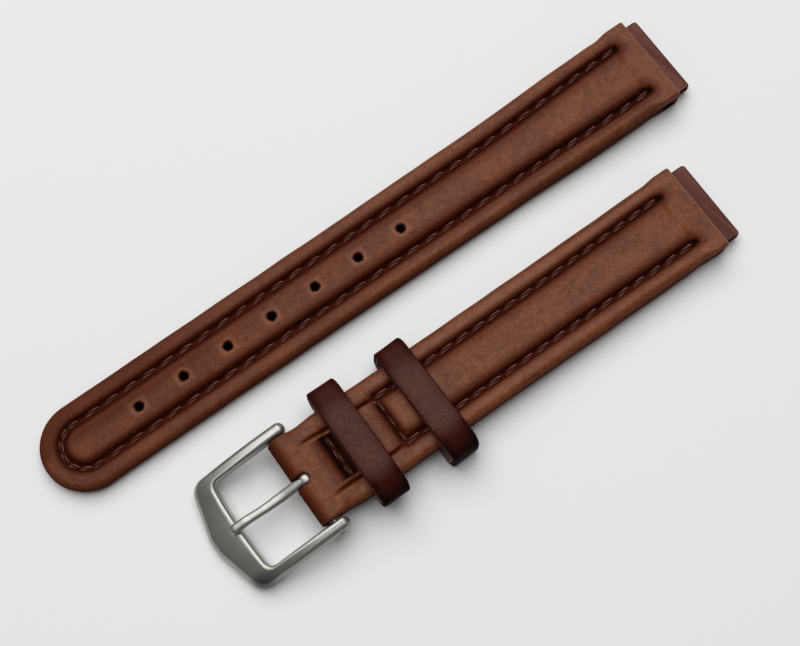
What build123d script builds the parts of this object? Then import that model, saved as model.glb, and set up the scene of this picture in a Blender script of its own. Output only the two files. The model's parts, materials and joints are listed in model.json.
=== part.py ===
from build123d import *
import math
import os

os.makedirs("parts", exist_ok=True)

# A two-piece padded leather watch strap, laid out on a table. Lengths are in millimetres.
# X runs along both halves with their lug ends at +X, Y runs across them and Z points up.
# The tail half, with the holes, lies at +Y and the buckle half beside it at -Y.
# Each half is drawn in its own frame: x is zero at the lug tab's free end and negative
# towards the tip or the buckle, y is zero on its centre line and z is zero at its underside.

# Leather and fillings, both halves
skin = 0.55                   # upper leather
lining = 0.6                  # lining leather, and the upper leather turned back under the buckle end
tape = 0.25                   # woven tape against stretch, glued on the lining
lining_inset = 0.15           # the lining's edge stays behind the upper leather's edge
side_draw = 0.2               # how far the sides are drawn in at the bottom
side_level_share = 0.45       # height of the widest line, as a share of the upper leather's height
bead_drop = 0.1               # the edge bead stays this far below the centre crown
valley_depth = 0.35           # dip between the centre crown and the edge bead
wedge_start = 0.15            # thickness of the lug wedge at its thin end
wedge_slope_share = 0.65      # how much of the growth in height the wedge takes up

# Sewn channel
channel_half_width = 0.65
channel_depth = 0.5           # below the dip
channel_spread_share = 0.55   # how much wider the channel is under the leather, per leather thickness
channel_end_gap = 3.0         # from the channel's full depth to the shoulder
channel_fade = 1.3            # the channel runs out over this length
plain_share = 0.08            # what is left of dip and channel where the padding is plain

# Lug ends, where the watch's spring bars go
tab_length = 2.8              # dark tab in front of the padded shoulder
tab_thickness = 1.1
lug_bore = 0.9                # radius of the spring bar tunnel
loop_skin = 0.55              # leather round the tunnel
loop_half_width = 6.3
shoulder_to_bar = 1.5         # from the shoulder back to the tunnel's axis
strip_length = 9.0            # glued strips of the lug loop behind the tunnel
upper_strip_length = 6.0
shoulder_corner = 0.7
shoulder_wall = 0.45          # upper leather closing the padded end
tab_corner = 0.5

# Tail half
tail_length = 103.7
tip_half_width = 6.42
tail_mid_half_width = 6.6
tail_shoulder_half_width = 6.87
tip_height = 2.6
tail_mid_height = 2.9
tail_shoulder_height = 3.9
tail_flare_length = 32.0      # last stretch before the tab's end, where the half grows wider and thicker
tip_channel = 3.25            # centre line to sewn channel
tail_mid_channel = 3.4
tail_lug_channel = 4.0
hole_count = 7
hole_pitch = 7.17
hole_radius = 0.8
tip_to_hole = 14.8            # from the tip to the first hole

# Buckle half
buckle_half_length = 68.2     # lug tab's free end to the buckle's pivot axis
near_half_width = 6.85        # at the keepers
far_half_width = 6.87         # at the shoulder
fold_half_width = 6.5         # between the buckle's arms
near_height = 3.0
far_mid_height = 3.2
far_shoulder_height = 3.9
far_flare_length = 30.0
neck_length = 1.9             # stretch of even width behind the pivot
channel_near = 3.7
channel_far = 4.0
cross_seam = 13.5             # pivot to the cross seam of the padded part
near_seam = 5.2               # pivot to the short cross seam by the buckle
recess_half_width = 4.0
recess_depth = 0.62           # flat recess between the seams, below the crown
seam_radius = 0.5
seam_depth = 0.3
turn_back = 14.7              # the turned leather ends this far behind the pivot

# Fold round the buckle's spring bar
fold_outer = 1.75
fold_bore = 0.85
slot_half_width = 1.0
slot_reach = 2.15             # slot for the tongue, behind the pivot
core_gap = 1.5                # solid leather behind the pivot before the filling starts

# Keepers
keeper_width = 4.4            # along the strap
keeper_half = 9.1             # half of the outer width across the strap
keeper_leather = 0.6
keeper_lining = 0.3
keeper_corner = 1.7
keeper_edge = 0.3
fixed_keeper_back = 8.4       # pivot to the fixed keeper's middle
fixed_keeper_room = 0.9       # room for the tail under its top
free_keeper_back = 19.0       # pivot to the free keeper's middle
free_keeper_under = 0.3       # air between the free keeper and the underside
free_keeper_room = 0.5        # air over the strap at rest
free_keeper_shift = 0.5       # the free keeper lies off the centre line

# Buckle frame
fold_side_gap = 0.3           # from the fold's end to the frame's arm
arm_width = 1.7
arm_back = 1.75               # arm's end behind the pivot
frame_top = 1.15              # above the pivot axis
frame_bottom = 1.05           # below it
frame_corner = 2.1
window_length = 10.6          # pivot to the front bar's inner edge
window_bow = 0.35             # the bar's inner edge is bowed forward
window_corner = 1.1
bar_side_depth = 2.5          # front bar beside the arms
bar_centre_depth = 4.0        # front bar in the middle
bar_nose_half = 1.6           # half width of the blunt middle of its outer edge
bar_nose_fillet = 2.0
frame_outer_fillet = 0.7
frame_inner_fillet = 0.3
frame_bottom_fillet = 0.35
frame_arch = 0.45             # the frame's middle is arched up by this much
arm_hole = 0.45               # radius of the drilled holes for the pins
floor_gap = 0.02              # under the front bar
rest_notch_radius = 0.9
rest_notch_depth = 0.15

# Tongue
tongue_half_width = 0.72
tongue_thickness = 1.0
tongue_overlap = 1.3          # tip over the front bar
tongue_dip = 0.35             # how far the shank dips before the bar
tongue_dip_share = 0.5        # where the dip and the rise end, along the window
tongue_rise_share = 0.86
tongue_bend = 1.6
tongue_tip_share = 0.7
tongue_clearance = 0.02       # over the front bar
barrel_wall = 0.5
tongue_fillet = 0.3

# Spring bar
bar_radius = 0.75
bar_bore = 0.55
bar_end_gap = 0.25            # from the tube's end to the arm
lip_radius = 0.46
lip_length = 0.3
pin_radius = 0.4
pin_head_radius = 0.5
pin_head_length = 2.0
pin_reach = 1.3               # pin's tip in the arm
pin_point = 0.15
head_gap = 0.02               # pin's shoulder to the tube's lip
barrel_gap = 0.06             # tongue's barrel round the tube
coil_turns = 9
coil_radius = 0.33
coil_wire = 0.1
coil_gap = 0.05               # coil's ends to the pins

# Layout on the table
half_spacing = 21.4           # between the centre lines
half_stagger = 8.2            # the tail half's tab reaches this much further
overrun = 1.0                 # cutters reach past what they cut by this much

# Worked out from the above
shoulder_x = -tab_length
bar_x = shoulder_x - shoulder_to_bar
loop_outer = lug_bore + loop_skin
bar_z = loop_outer
pivot_x = -buckle_half_length
pivot_z = fold_outer
channel_end_x = shoulder_x - channel_end_gap
frame_inner_half = fold_half_width + fold_side_gap
tape_top = lining + tape
keeper_wall = keeper_leather + keeper_lining
tail_axis_y = half_spacing - (half_spacing + tail_shoulder_half_width - keeper_half - free_keeper_shift) / 2
buckle_axis_y = tail_axis_y - half_spacing
tail_tab_x = tail_length / 2
buckle_tab_x = tail_tab_x - half_stagger
tip_centre_x = -tail_length + tip_half_width


class Station:
    """Sizes of one cross-section of a padded half."""

    def __init__(self, x, half_width, height, channel, sewn=1):
        self.x = x
        self.half_width = half_width
        self.height = height
        self.channel = channel
        self.sewn = sewn

    def dip_z(self):
        return self.height - valley_depth * self.sewn

    def side_z(self):
        return lining + (self.height - lining) * side_level_share

    def bead_z(self):
        return self.height - bead_drop * self.sewn

    def bead_y(self):
        return self.half_width - (self.bead_z() - self.side_z())


def across(x):
    """Plane square to the strap, with Y to the right and Z up."""
    return Plane(origin=(x, 0, 0), x_dir=(0, 1, 0), z_dir=(1, 0, 0))


def along(y=0):
    """Plane along the strap, with X to the right and Z up."""
    return Plane(origin=(0, y, 0), x_dir=(1, 0, 0), z_dir=(0, -1, 0))


def rod(start, end, radius):
    """Cylinder from one point to another."""
    direction = Vector(*end) - Vector(*start)
    place = Plane(origin=start, z_dir=direction)
    return place * Cylinder(radius, direction.length, align=(Align.CENTER, Align.CENTER, Align.MIN))


def cross_rod(x, z, half_length, radius):
    """Cylinder across the strap, centred on its middle line."""
    return rod((x, -half_length, z), (x, half_length, z), radius)


def block(x0, x1, half_width, z0, z1):
    """Box across the strap, from one place along it to another."""
    box = Box(x1 - x0, half_width * 2, z1 - z0, align=(Align.MIN, Align.CENTER, Align.MIN))
    return Pos(x0, 0, z0) * box


def right_outline(s, inset):
    """Edges of a section's right side: sewn channel, edge bead and drawn-in side."""
    half_channel = channel_half_width + inset * channel_spread_share
    draw = side_draw if inset == 0 else 0
    dip_z = s.dip_z() - inset
    inner = (s.channel - half_channel, dip_z)
    bottom = (s.channel, dip_z - channel_depth * s.sewn)
    shoulder = (s.channel + half_channel, dip_z)
    crest = (s.bead_y(), s.bead_z() - inset)
    widest = (s.half_width - inset, s.side_z())
    foot = (s.half_width - inset - draw, lining)
    edges = [
        ThreePointArc(inner, bottom, shoulder),
        TangentArc(crest, shoulder, tangent=(-1, 0)),
        TangentArc(crest, widest, tangent=(1, 0)),
        Line(widest, foot),
    ]
    return edges, inner, foot


def section(s, inset=0):
    """Padded cross-section: centre crown, sewn channels and edge beads."""
    edges, inner, foot = right_outline(s, inset)
    right = Curve() + edges
    crown = ThreePointArc((-inner[0], inner[1]), (0, s.height - inset), inner)
    base = Line((-foot[0], lining), foot)
    return across(s.x) * make_face(Curve() + [right, mirror(right, Plane.YZ), crown, base])


def rounded_tip(s, inset=0):
    """Half of the same section turned about the tip's centre."""
    edges, inner, foot = right_outline(s, inset)
    top = (0, s.height - inset)
    closing = [
        TangentArc(top, inner, tangent=(1, 0)),
        Line((0, lining), foot),
        Line((0, lining), top),
    ]
    half = make_face(Curve() + edges + closing)
    return revolve(across(s.x) * half, Axis((s.x, 0, 0), (0, 0, 1)), 180)


def shoulder_block(x0, inset, wall):
    """Room of a half in plan, with the shoulder's two corners rounded."""
    half_width = max(tail_shoulder_half_width, far_half_width) - inset
    room = block(x0, shoulder_x - wall, half_width, 0, tail_shoulder_height + far_shoulder_height)
    corners = room.edges().filter_by(Axis.Z).group_by(Axis.X)[-1]
    return fillet(corners, shoulder_corner)


def plan_slab(stations, z0, z1, x_end, round_tip):
    """Flat layer with the outline of a half, set in from its edge."""
    right = [(s.x, s.half_width - lining_inset) for s in stations]
    left = [(x, -y) for x, y in reversed(right)]
    flat = make_face(Polyline(*right, *left, close=True))
    if round_tip:
        flat = flat + Pos(stations[0].x, 0) * Circle(stations[0].half_width - lining_inset)
    slab = Pos(0, 0, z0) * extrude(flat, z1 - z0)
    keep = block(stations[0].x - tip_half_width - overrun, x_end, keeper_half, z0 - overrun, z1 + overrun)
    return slab & keep


def lug_loop_body(half_width):
    """Folded leather of a lug end, before its tunnel is bored."""
    ring = along() * Pos(bar_x, bar_z) * Circle(loop_outer)
    tab = along() * Pos(bar_x / 2, bar_z) * Rectangle(-bar_x, tab_thickness)
    lower = along() * Pos(bar_x - strip_length / 2, lining / 2) * Rectangle(strip_length, lining)
    upper_z = tape_top + loop_skin / 2
    upper = along() * Pos(bar_x - upper_strip_length / 2, upper_z) * Rectangle(upper_strip_length, loop_skin)
    profile = ring + tab + lower + upper
    return extrude(profile, half_width, both=True)


def lug_loop():
    """Leather loop round the spring bar tunnel, with the tab in front of it."""
    loop = lug_loop_body(loop_half_width)
    corners = loop.edges().filter_by(Axis.Z).group_by(Axis.X)[-1]
    loop = fillet(corners, tab_corner)
    return loop - cross_rod(bar_x, bar_z, loop_half_width + overrun, lug_bore)


def wall_bore():
    """Cutter for the tunnel's two mouths in the upper leather."""
    return cross_rod(bar_x, bar_z, tail_shoulder_half_width + overrun, lug_bore)


def lug_wedge_room(x_start, growth):
    """Wedge-shaped space on the tape that thickens towards the lug."""
    x_end = bar_x - upper_strip_length
    rise = growth * wedge_slope_share
    side = Polyline(
        (x_start, tape_top),
        (x_end, tape_top),
        (x_end, tape_top + wedge_start + rise),
        (x_start, tape_top + wedge_start),
        close=True,
    )
    return extrude(along() * make_face(side), keeper_half, both=True)


def layers(outer, core, tape_start, wedge_room):
    """Splits a half into upper leather, padding, wedge and tape."""
    tape_room = block(tape_start, bar_x, keeper_half, lining, tape_top)
    inside = core - lug_loop_body(keeper_half)
    tape_solid = inside & tape_room
    above = inside - tape_room
    wedge = above & wedge_room
    padding = above - wedge_room
    upper = outer - core - lug_loop_body(loop_half_width) - wall_bore()
    return upper, padding, wedge, tape_solid


def tail_stations():
    """Sections of the tail half from its tip's centre to the padded shoulder."""
    fade_x = channel_end_x + channel_fade
    return [
        Station(tip_centre_x, tip_half_width, tip_height, tip_channel),
        Station(-tail_flare_length, tail_mid_half_width, tail_mid_height, tail_mid_channel),
        Station(channel_end_x, tail_shoulder_half_width, tail_shoulder_height, tail_lug_channel),
        Station(fade_x, tail_shoulder_half_width, tail_shoulder_height, tail_lug_channel, plain_share),
        Station(shoulder_x, tail_shoulder_half_width, tail_shoulder_height, tail_lug_channel, plain_share),
    ]


def tail_holes():
    """Row of round holes for the buckle's tongue."""
    first = -tail_length + tip_to_hole
    holes = []
    for i in range(hole_count):
        x = first + i * hole_pitch
        holes.append(rod((x, 0, -overrun), (x, 0, tail_shoulder_height + overrun), hole_radius))
    return holes


def tail_half():
    """Pieces of the half with the holes, in its own frame."""
    stations = tail_stations()
    outer = loft([section(s) for s in stations], ruled=True) + rounded_tip(stations[0])
    core = loft([section(s, skin) for s in stations], ruled=True) + rounded_tip(stations[0], skin)
    start = -tail_length - overrun
    outer = outer & shoulder_block(start, 0, 0)
    core = core & shoulder_block(start, skin, shoulder_wall)
    growth = tail_shoulder_height - tail_mid_height
    wedge_room = lug_wedge_room(-tail_flare_length, growth)
    upper, padding, wedge, tape_solid = layers(outer, core, start, wedge_room)
    strip_start = bar_x - strip_length
    bottom = plan_slab(stations, 0, lining, strip_start, True)
    holes = tail_holes()
    return {
        "tail_upper_leather": upper - holes,
        "tail_padding": padding - holes,
        "tail_lug_wedge": wedge,
        "tail_reinforcing_tape": tape_solid - holes,
        "tail_lining_leather": bottom - holes,
        "tail_lug_loop": lug_loop(),
    }


def near_height_at(x):
    """Height of the buckle half between its cross seam and its flare."""
    start = pivot_x + cross_seam
    share = (x - start) / (-far_flare_length - start)
    return near_height + (far_mid_height - near_height) * share


def buckle_stations():
    """Sections of the buckle half from the fold to the padded shoulder."""
    fade_x = channel_end_x + channel_fade
    neck_height = (2 * fold_outer + near_height) / 2
    return [
        Station(pivot_x, fold_half_width, 2 * fold_outer, channel_near, plain_share),
        Station(pivot_x + neck_length, fold_half_width, neck_height, channel_near, plain_share),
        Station(pivot_x + near_seam, near_half_width, near_height, channel_near),
        Station(-far_flare_length, near_half_width, far_mid_height, channel_near),
        Station(channel_end_x, far_half_width, far_shoulder_height, channel_far),
        Station(fade_x, far_half_width, far_shoulder_height, channel_far, plain_share),
        Station(shoulder_x, far_half_width, far_shoulder_height, channel_far, plain_share),
    ]


def fold(s):
    """Leather turned round the buckle's spring bar, half a turn."""
    upper_half = across(s.x) * Pos(0, pivot_z + fold_outer) * Rectangle(keeper_half * 2, fold_outer * 2)
    return revolve(section(s) & upper_half, Axis((s.x, 0, pivot_z), (0, -1, 0)), 180)


def recess(inset):
    """Flat recess between the two cross seams, and the seams' own furrows."""
    floor_z = near_height - recess_depth - inset
    x0 = pivot_x + near_seam
    x1 = pivot_x + cross_seam
    half_width = recess_half_width + inset / 2
    room = block(x0, x1, half_width, floor_z, 2 * near_height)
    furrow_z = floor_z + seam_radius - seam_depth + inset
    near = cross_rod(x0, furrow_z, half_width, seam_radius + inset)
    far = cross_rod(x1, furrow_z, half_width, seam_radius + inset)
    return [room, near, far]


def tongue_slot():
    """Through slot in the fold that lets the tongue swing."""
    x0 = pivot_x - fold_outer - overrun
    x1 = pivot_x + slot_reach
    slot = block(x0, x1, slot_half_width, -overrun, near_height * 2)
    corners = slot.edges().filter_by(Axis.Z).group_by(Axis.X)[-1]
    return fillet(corners, slot_half_width / 2)


def keeper(x, z0, height):
    """Leather band round the strap: outer leather and its lining."""
    corner = keeper_corner
    outside = extrude(across(x) * RectangleRounded(keeper_half * 2, height, corner), keeper_width / 2, both=True)
    rims = outside.edges().group_by(Axis.X)
    outside = fillet(rims[0] + rims[-1], keeper_edge)
    bands = []
    for depth in (keeper_leather, keeper_wall):
        size = (keeper_half * 2 - depth * 2, height - depth * 2)
        opening = across(x) * RectangleRounded(*size, corner - depth)
        bands.append(extrude(opening, keeper_width / 2, both=True))
    place = Pos(0, 0, z0 + height / 2)
    return place * (outside - bands[0]), place * (bands[0] - bands[1])


def fixed_keeper():
    x = pivot_x + fixed_keeper_back
    height = keeper_wall + (near_height - lining) + fixed_keeper_room
    return keeper(x, lining, height)


def free_keeper():
    x = pivot_x + free_keeper_back
    height = keeper_wall * 2 + free_keeper_under + near_height_at(x) + free_keeper_room
    outer, inner = keeper(x, -free_keeper_under - keeper_wall, height)
    return Pos(0, -free_keeper_shift, 0) * outer, Pos(0, -free_keeper_shift, 0) * inner


def buckle_half(keeper_band):
    """Leather and fillings of the buckle half, in its own frame."""
    stations = buckle_stations()
    start = pivot_x - fold_outer - overrun
    outer = loft([section(s) for s in stations], ruled=True) & shoulder_block(start, 0, 0)
    turned = plan_slab(stations, 0, lining, pivot_x + turn_back, False)
    outer = outer + fold(stations[0]) + turned - recess(0)
    core = loft([section(s, skin) for s in stations], ruled=True)
    core = core & shoulder_block(pivot_x + core_gap, skin, shoulder_wall)
    core = core - recess(skin)
    wedge_room = lug_wedge_room(-far_flare_length, far_shoulder_height - far_mid_height)
    tape_start = pivot_x + fixed_keeper_back + keeper_width
    upper, padding, wedge, tape_solid = layers(outer, core, tape_start, wedge_room)
    bar_room = cross_rod(pivot_x, pivot_z, near_half_width + overrun, fold_bore)
    bottom = plan_slab(stations, 0, lining, bar_x - strip_length, False)
    bottom = bottom - block(start, pivot_x + turn_back, near_half_width, -overrun, near_height)
    return {
        "buckle_side_upper_leather": upper - bar_room - tongue_slot() - keeper_band,
        "buckle_side_padding": padding - keeper_band - tongue_slot(),
        "buckle_side_lug_wedge": wedge,
        "buckle_side_reinforcing_tape": tape_solid,
        "buckle_side_lining_leather": bottom,
        "buckle_side_lug_loop": lug_loop(),
    }


def frame_side():
    """Side view of the buckle frame, arched up in the middle, with rounded arm ends."""
    nose_x = -window_length - bar_centre_depth
    middle_x = (nose_x + arm_back) / 2
    end_z = (frame_top - frame_bottom) / 2
    back_x = arm_back - (frame_top + frame_bottom) / 2
    outline = [
        ThreePointArc((nose_x, frame_top), (middle_x, frame_top + frame_arch), (back_x, frame_top)),
        ThreePointArc((back_x, frame_top), (arm_back, end_z), (back_x, -frame_bottom)),
        ThreePointArc((back_x, -frame_bottom), (middle_x, frame_arch - frame_bottom), (nose_x, -frame_bottom)),
        Line((nose_x, -frame_bottom), (nose_x, frame_top)),
    ]
    return along() * make_face(Curve() + outline)


def frame_plan():
    """Top view of the buckle frame: two arms and a broad front bar with a blunt nose."""
    outer_half = frame_inner_half + arm_width
    side_x = -window_length - bar_side_depth
    nose_x = -window_length - bar_centre_depth
    outline = Polyline(
        (arm_back, outer_half),
        (side_x, outer_half),
        (nose_x, bar_nose_half),
        (nose_x, -bar_nose_half),
        (side_x, -outer_half),
        (arm_back, -outer_half),
        close=True,
    )
    body = make_face(outline)
    corners = body.vertices().group_by(Axis.X)
    body = fillet(corners[0], bar_nose_fillet)
    corners = [v for v in body.vertices() if abs(v.X - side_x) < arm_width / 4 and abs(v.Y) > frame_inner_half]
    body = fillet(corners, frame_corner)
    inner_x = -window_length + window_bow
    bow = ThreePointArc((inner_x, frame_inner_half), (-window_length, 0), (inner_x, -frame_inner_half))
    back_x = arm_back + overrun
    sides = Polyline(
        (inner_x, -frame_inner_half),
        (back_x, -frame_inner_half),
        (back_x, frame_inner_half),
        (inner_x, frame_inner_half),
    )
    window = make_face(Curve() + [bow, sides])
    window = fillet(window.vertices().group_by(Axis.X)[0], window_corner)
    return body - window


def rim(body, up, outside):
    """Long edges of the frame's upper or lower face, on its outer or inner side."""
    middle_y = frame_inner_half + arm_width / 2
    middle_x = -window_length - bar_side_depth / 2
    face = max(body.faces(), key=lambda f: f.normal_at().Z * up * f.area)
    chosen = []
    for edge in face.edges():
        spot = edge.position_at(0.5)
        is_outside = abs(spot.Y) > middle_y or spot.X < middle_x
        is_end = abs(edge.tangent_at(0.5).Y) > 0.9 and spot.X > -window_length / 2
        if is_outside == outside and not is_end:
            chosen.append(edge)
    return chosen


def buckle_frame():
    """Frame of the buckle with its pivot axis on Y through zero."""
    tall = frame_top + frame_bottom + frame_arch
    body = Pos(0, 0, -frame_bottom) * extrude(frame_plan(), tall)
    body = body & extrude(frame_side(), frame_inner_half * 2, both=True)
    body = fillet(rim(body, 1, True), frame_outer_fillet)
    body = fillet(rim(body, 1, False), frame_inner_fillet)
    body = fillet(rim(body, -1, True), frame_bottom_fillet)
    body = fillet(rim(body, -1, False), frame_inner_fillet)
    holes = cross_rod(0, 0, frame_inner_half + arm_width + overrun, arm_hole)
    notch_z = bar_top_z() + rest_notch_radius - rest_notch_depth
    notch_end = -window_length - tongue_overlap - tongue_half_width
    notch = rod((notch_end, 0, notch_z), (0, 0, notch_z), rest_notch_radius)
    return body - holes - notch


def bar_top_z():
    """Height of the frame's upper side at the window's front edge."""
    nose_x = -window_length - bar_centre_depth
    back_x = arm_back - (frame_top + frame_bottom) / 2
    middle_x = (nose_x + back_x) / 2
    share = (-window_length - middle_x) / (nose_x - middle_x)
    return frame_top + frame_arch * (1 - share * share)


def buckle_tongue():
    """Bent tongue with its barrel, from the pivot to the front bar."""
    half = tongue_thickness / 2
    tip_x = -window_length - tongue_overlap
    rest_z = bar_top_z() + tongue_clearance + half
    barrel = bar_radius + barrel_gap + barrel_wall
    start_z = barrel - half
    spine = [
        (0, start_z),
        (-window_length * tongue_dip_share, start_z - tongue_dip),
        (-window_length * tongue_rise_share, rest_z),
        (tip_x, rest_z),
    ]
    upper = [(x, z + half) for x, z in spine]
    lower = [(x, z - half) for x, z in spine]
    side = make_face(Polyline(*upper, *reversed(lower), close=True))
    bends = [v for v in side.vertices() if tip_x + half < v.X < -half]
    side = fillet(bends, tongue_bend)
    shank = extrude(along() * side, tongue_half_width, both=True)
    tip = shank.edges().filter_by(Axis.Z).group_by(Axis.X)[0]
    shank = fillet(tip, tongue_half_width * tongue_tip_share)
    upper_rim = [e for e in shank.edges() if abs(e.position_at(0.5).Y) > tongue_half_width / 2]
    shank = fillet([e for e in upper_rim if abs(e.tangent_at(0.5).X) > 0.6], tongue_fillet)
    eye = cross_rod(0, 0, tongue_half_width, barrel)
    return shank + eye - cross_rod(0, 0, tongue_half_width + overrun, bar_radius + barrel_gap)


def bar_tube():
    """Spring bar's tube with a crimped lip at each end."""
    half = frame_inner_half - bar_end_gap
    tube = cross_rod(0, 0, half, bar_radius) - cross_rod(0, 0, half - lip_length, bar_bore)
    return tube - cross_rod(0, 0, half + overrun, lip_radius)


def bar_pin(side):
    """Spring-loaded pin: a head inside the tube and a tip in the arm's hole."""
    shoulder_y = frame_inner_half - bar_end_gap - lip_length - head_gap
    tip_y = frame_inner_half + pin_reach
    head = rod((0, side * (shoulder_y - pin_head_length), 0), (0, side * shoulder_y, 0), pin_head_radius)
    stem = rod((0, side * (shoulder_y - pin_head_length), 0), (0, side * tip_y, 0), pin_radius)
    end = stem.edges().sort_by(Axis.Y)[-1 if side > 0 else 0]
    return head + chamfer(end, pin_point)


def bar_spring():
    """Coil between the two pins' heads."""
    head_y = frame_inner_half - bar_end_gap - lip_length - head_gap - pin_head_length
    length = (head_y - coil_gap - coil_wire) * 2
    path = Helix(length / coil_turns, length, coil_radius)
    wire = Plane(origin=path @ 0, z_dir=path % 0) * Circle(coil_wire)
    coil = sweep(wire, path, is_frenet=True)
    return Rot(90, 0, 0) * Pos(0, 0, -length / 2) * coil


def resting_droop(pivot_height):
    """Angle at which the frame hangs until its front bar is just over the table."""
    nose = window_length + bar_centre_depth
    reach = math.hypot(nose, frame_bottom)
    angle = math.asin((pivot_height - floor_gap) / reach) - math.atan2(frame_bottom, nose)
    return math.degrees(angle)


def world(local):
    """Where a piece drawn in the buckle half's frame lies on the table."""
    lay = Pos(buckle_tab_x, buckle_axis_y, 0) * Pos(bar_x, 0, bar_z)
    return lay * Rot(0, half_tilt, 0) * Pos(-bar_x, 0, -bar_z) * local


def resting_tilt():
    """Angle at which the buckle half lies, on its lug loop and the free keeper."""
    edge_x = pivot_x + free_keeper_back + keeper_width / 2
    run = bar_x - edge_x
    rise = -free_keeper_under - keeper_wall - bar_z
    return math.degrees(math.asin(-bar_z / math.hypot(run, rise)) - math.atan2(rise, run))


half_tilt = resting_tilt()
tilt_rise = (bar_x - pivot_x) * math.sin(math.radians(half_tilt))
pivot_height = bar_z + tilt_rise + (pivot_z - bar_z) * math.cos(math.radians(half_tilt))
at_pivot = Pos(pivot_x, 0, pivot_z)
frame_lie = at_pivot * Rot(0, -half_tilt - resting_droop(pivot_height), 0)

fixed_outer, fixed_inner = fixed_keeper()
free_outer, free_inner = free_keeper()
near_pieces = buckle_half([fixed_outer, fixed_inner])
near_pieces["fixed_keeper"] = fixed_outer
near_pieces["fixed_keeper_lining"] = fixed_inner
near_pieces["free_keeper"] = free_outer
near_pieces["free_keeper_lining"] = free_inner
near_pieces["buckle_frame"] = frame_lie * buckle_frame()
near_pieces["buckle_tongue"] = frame_lie * buckle_tongue()
near_pieces["spring_bar_tube"] = at_pivot * bar_tube()
near_pieces["spring_bar_spring"] = at_pivot * bar_spring()
near_pieces["spring_bar_pin_left"] = at_pivot * bar_pin(1)
near_pieces["spring_bar_pin_right"] = at_pivot * bar_pin(-1)

pieces = {}
for name, solid in tail_half().items():
    pieces[name] = Pos(tail_tab_x, tail_axis_y, 0) * solid
for name, solid in near_pieces.items():
    pieces[name] = world(solid)

for name, solid in pieces.items():
    export_step(solid, f"parts/{name}.step")
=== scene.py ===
import json
import math
from collections import namedtuple

import bmesh
import bpy
from mathutils import Matrix, Vector, noise
from mathutils.geometry import interpolate_bezier


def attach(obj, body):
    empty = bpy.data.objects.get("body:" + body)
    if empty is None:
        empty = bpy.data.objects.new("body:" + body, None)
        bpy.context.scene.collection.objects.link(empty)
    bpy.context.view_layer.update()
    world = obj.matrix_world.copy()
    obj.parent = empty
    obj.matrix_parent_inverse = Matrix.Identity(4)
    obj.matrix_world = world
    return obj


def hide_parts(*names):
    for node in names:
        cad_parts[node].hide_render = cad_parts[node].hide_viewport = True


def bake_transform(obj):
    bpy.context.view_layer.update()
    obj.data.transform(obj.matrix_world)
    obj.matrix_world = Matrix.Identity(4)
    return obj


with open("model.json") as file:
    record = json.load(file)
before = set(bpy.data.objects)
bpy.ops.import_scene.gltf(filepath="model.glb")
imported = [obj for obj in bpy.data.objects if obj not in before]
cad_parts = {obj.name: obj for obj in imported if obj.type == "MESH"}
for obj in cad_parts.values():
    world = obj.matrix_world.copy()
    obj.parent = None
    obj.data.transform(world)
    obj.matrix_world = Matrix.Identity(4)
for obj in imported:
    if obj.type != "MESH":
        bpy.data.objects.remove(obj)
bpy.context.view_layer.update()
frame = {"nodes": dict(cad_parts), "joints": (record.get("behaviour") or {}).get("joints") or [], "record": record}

# A padded leather watch strap in two halves, with two keepers and a steel buckle.
# Pieces are shaped in millimetres in their half's own frame: x is zero at the lug tab's free
# end and negative towards the tip or the buckle, y is zero on the centre line and z is zero
# at the underside. They are then laid where the frame says.
mm = 0.001
weld_gap = 0.0005

# Both halves
tab_length = 2.8
shoulder_to_bar = 1.5
shoulder_x = -tab_length
bar_x = shoulder_x - shoulder_to_bar
lug_bore = 0.9
loop_outer = 1.45
loop_half_width = 6.3
tab_start_x = bar_x + 1.0
tab_thickness = 1.1
tab_corner = 0.48
strip_length = 9.0
strip_corner = 0.32
shoulder_round = 0.28
foot_z = 0.42
foot_turn = 0.28
foot_inset = 0.16
groove_half = 0.62
lug_channel = 4.0
bead_drop = 0.04
lining_thickness = 0.46
lining_inset = 0.3
lining_gap = 0.05
lining_start_x = bar_x - strip_length - lining_gap
lining_step = 0.3
side_shares = ((-16.0, 0.44), (-8.0, 0.56), (-4.6, 0.82))

# Tail half
tail_length = 103.8
tip_half_width = 6.26
tip_x = -tail_length + tip_half_width
tip_channel = 3.25
hole_pitch = 7.17
hole_count = 7
first_hole_x = -88.9
hole_radius = 0.56
row_step = hole_pitch / 24
tail_groove_end = -5.9
tail_shoulder_x = -2.4

# Tail half's sizes along it, as (x, size) from the tip to the lug end
tail_widths = ((tip_x, tip_half_width), (-60.0, 6.34), (-32.0, 6.52), (-14.0, 6.84))
tail_pinch = ((-9.0, 0), (-7.0, -0.07), (-5.2, 0.06))
tail_channels = ((tip_x, tip_channel), (-32.0, 3.42), (-6.0, lug_channel))
tip_crown = 2.6
tail_rise = ((tip_x - 2, 0), (-40.0, 0.3))
tail_wedge_rise = ((-34.0, 0), (-7.0, 1.0))

# Buckle half, the near one in the photograph
pivot_x = -68.2
pivot_z = 1.75
fold_bore = 0.86
slot_half = 0.82
slot_end_x = pivot_x + 0.65
slot_column = 4
near_seam_x = pivot_x + 5.2
cross_seam_x = pivot_x + 13.5
recess_z = 2.52
turn_back_x = pivot_x + 14.7
buckle_groove_end = -6.6
pad_end_round = 1.3

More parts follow.
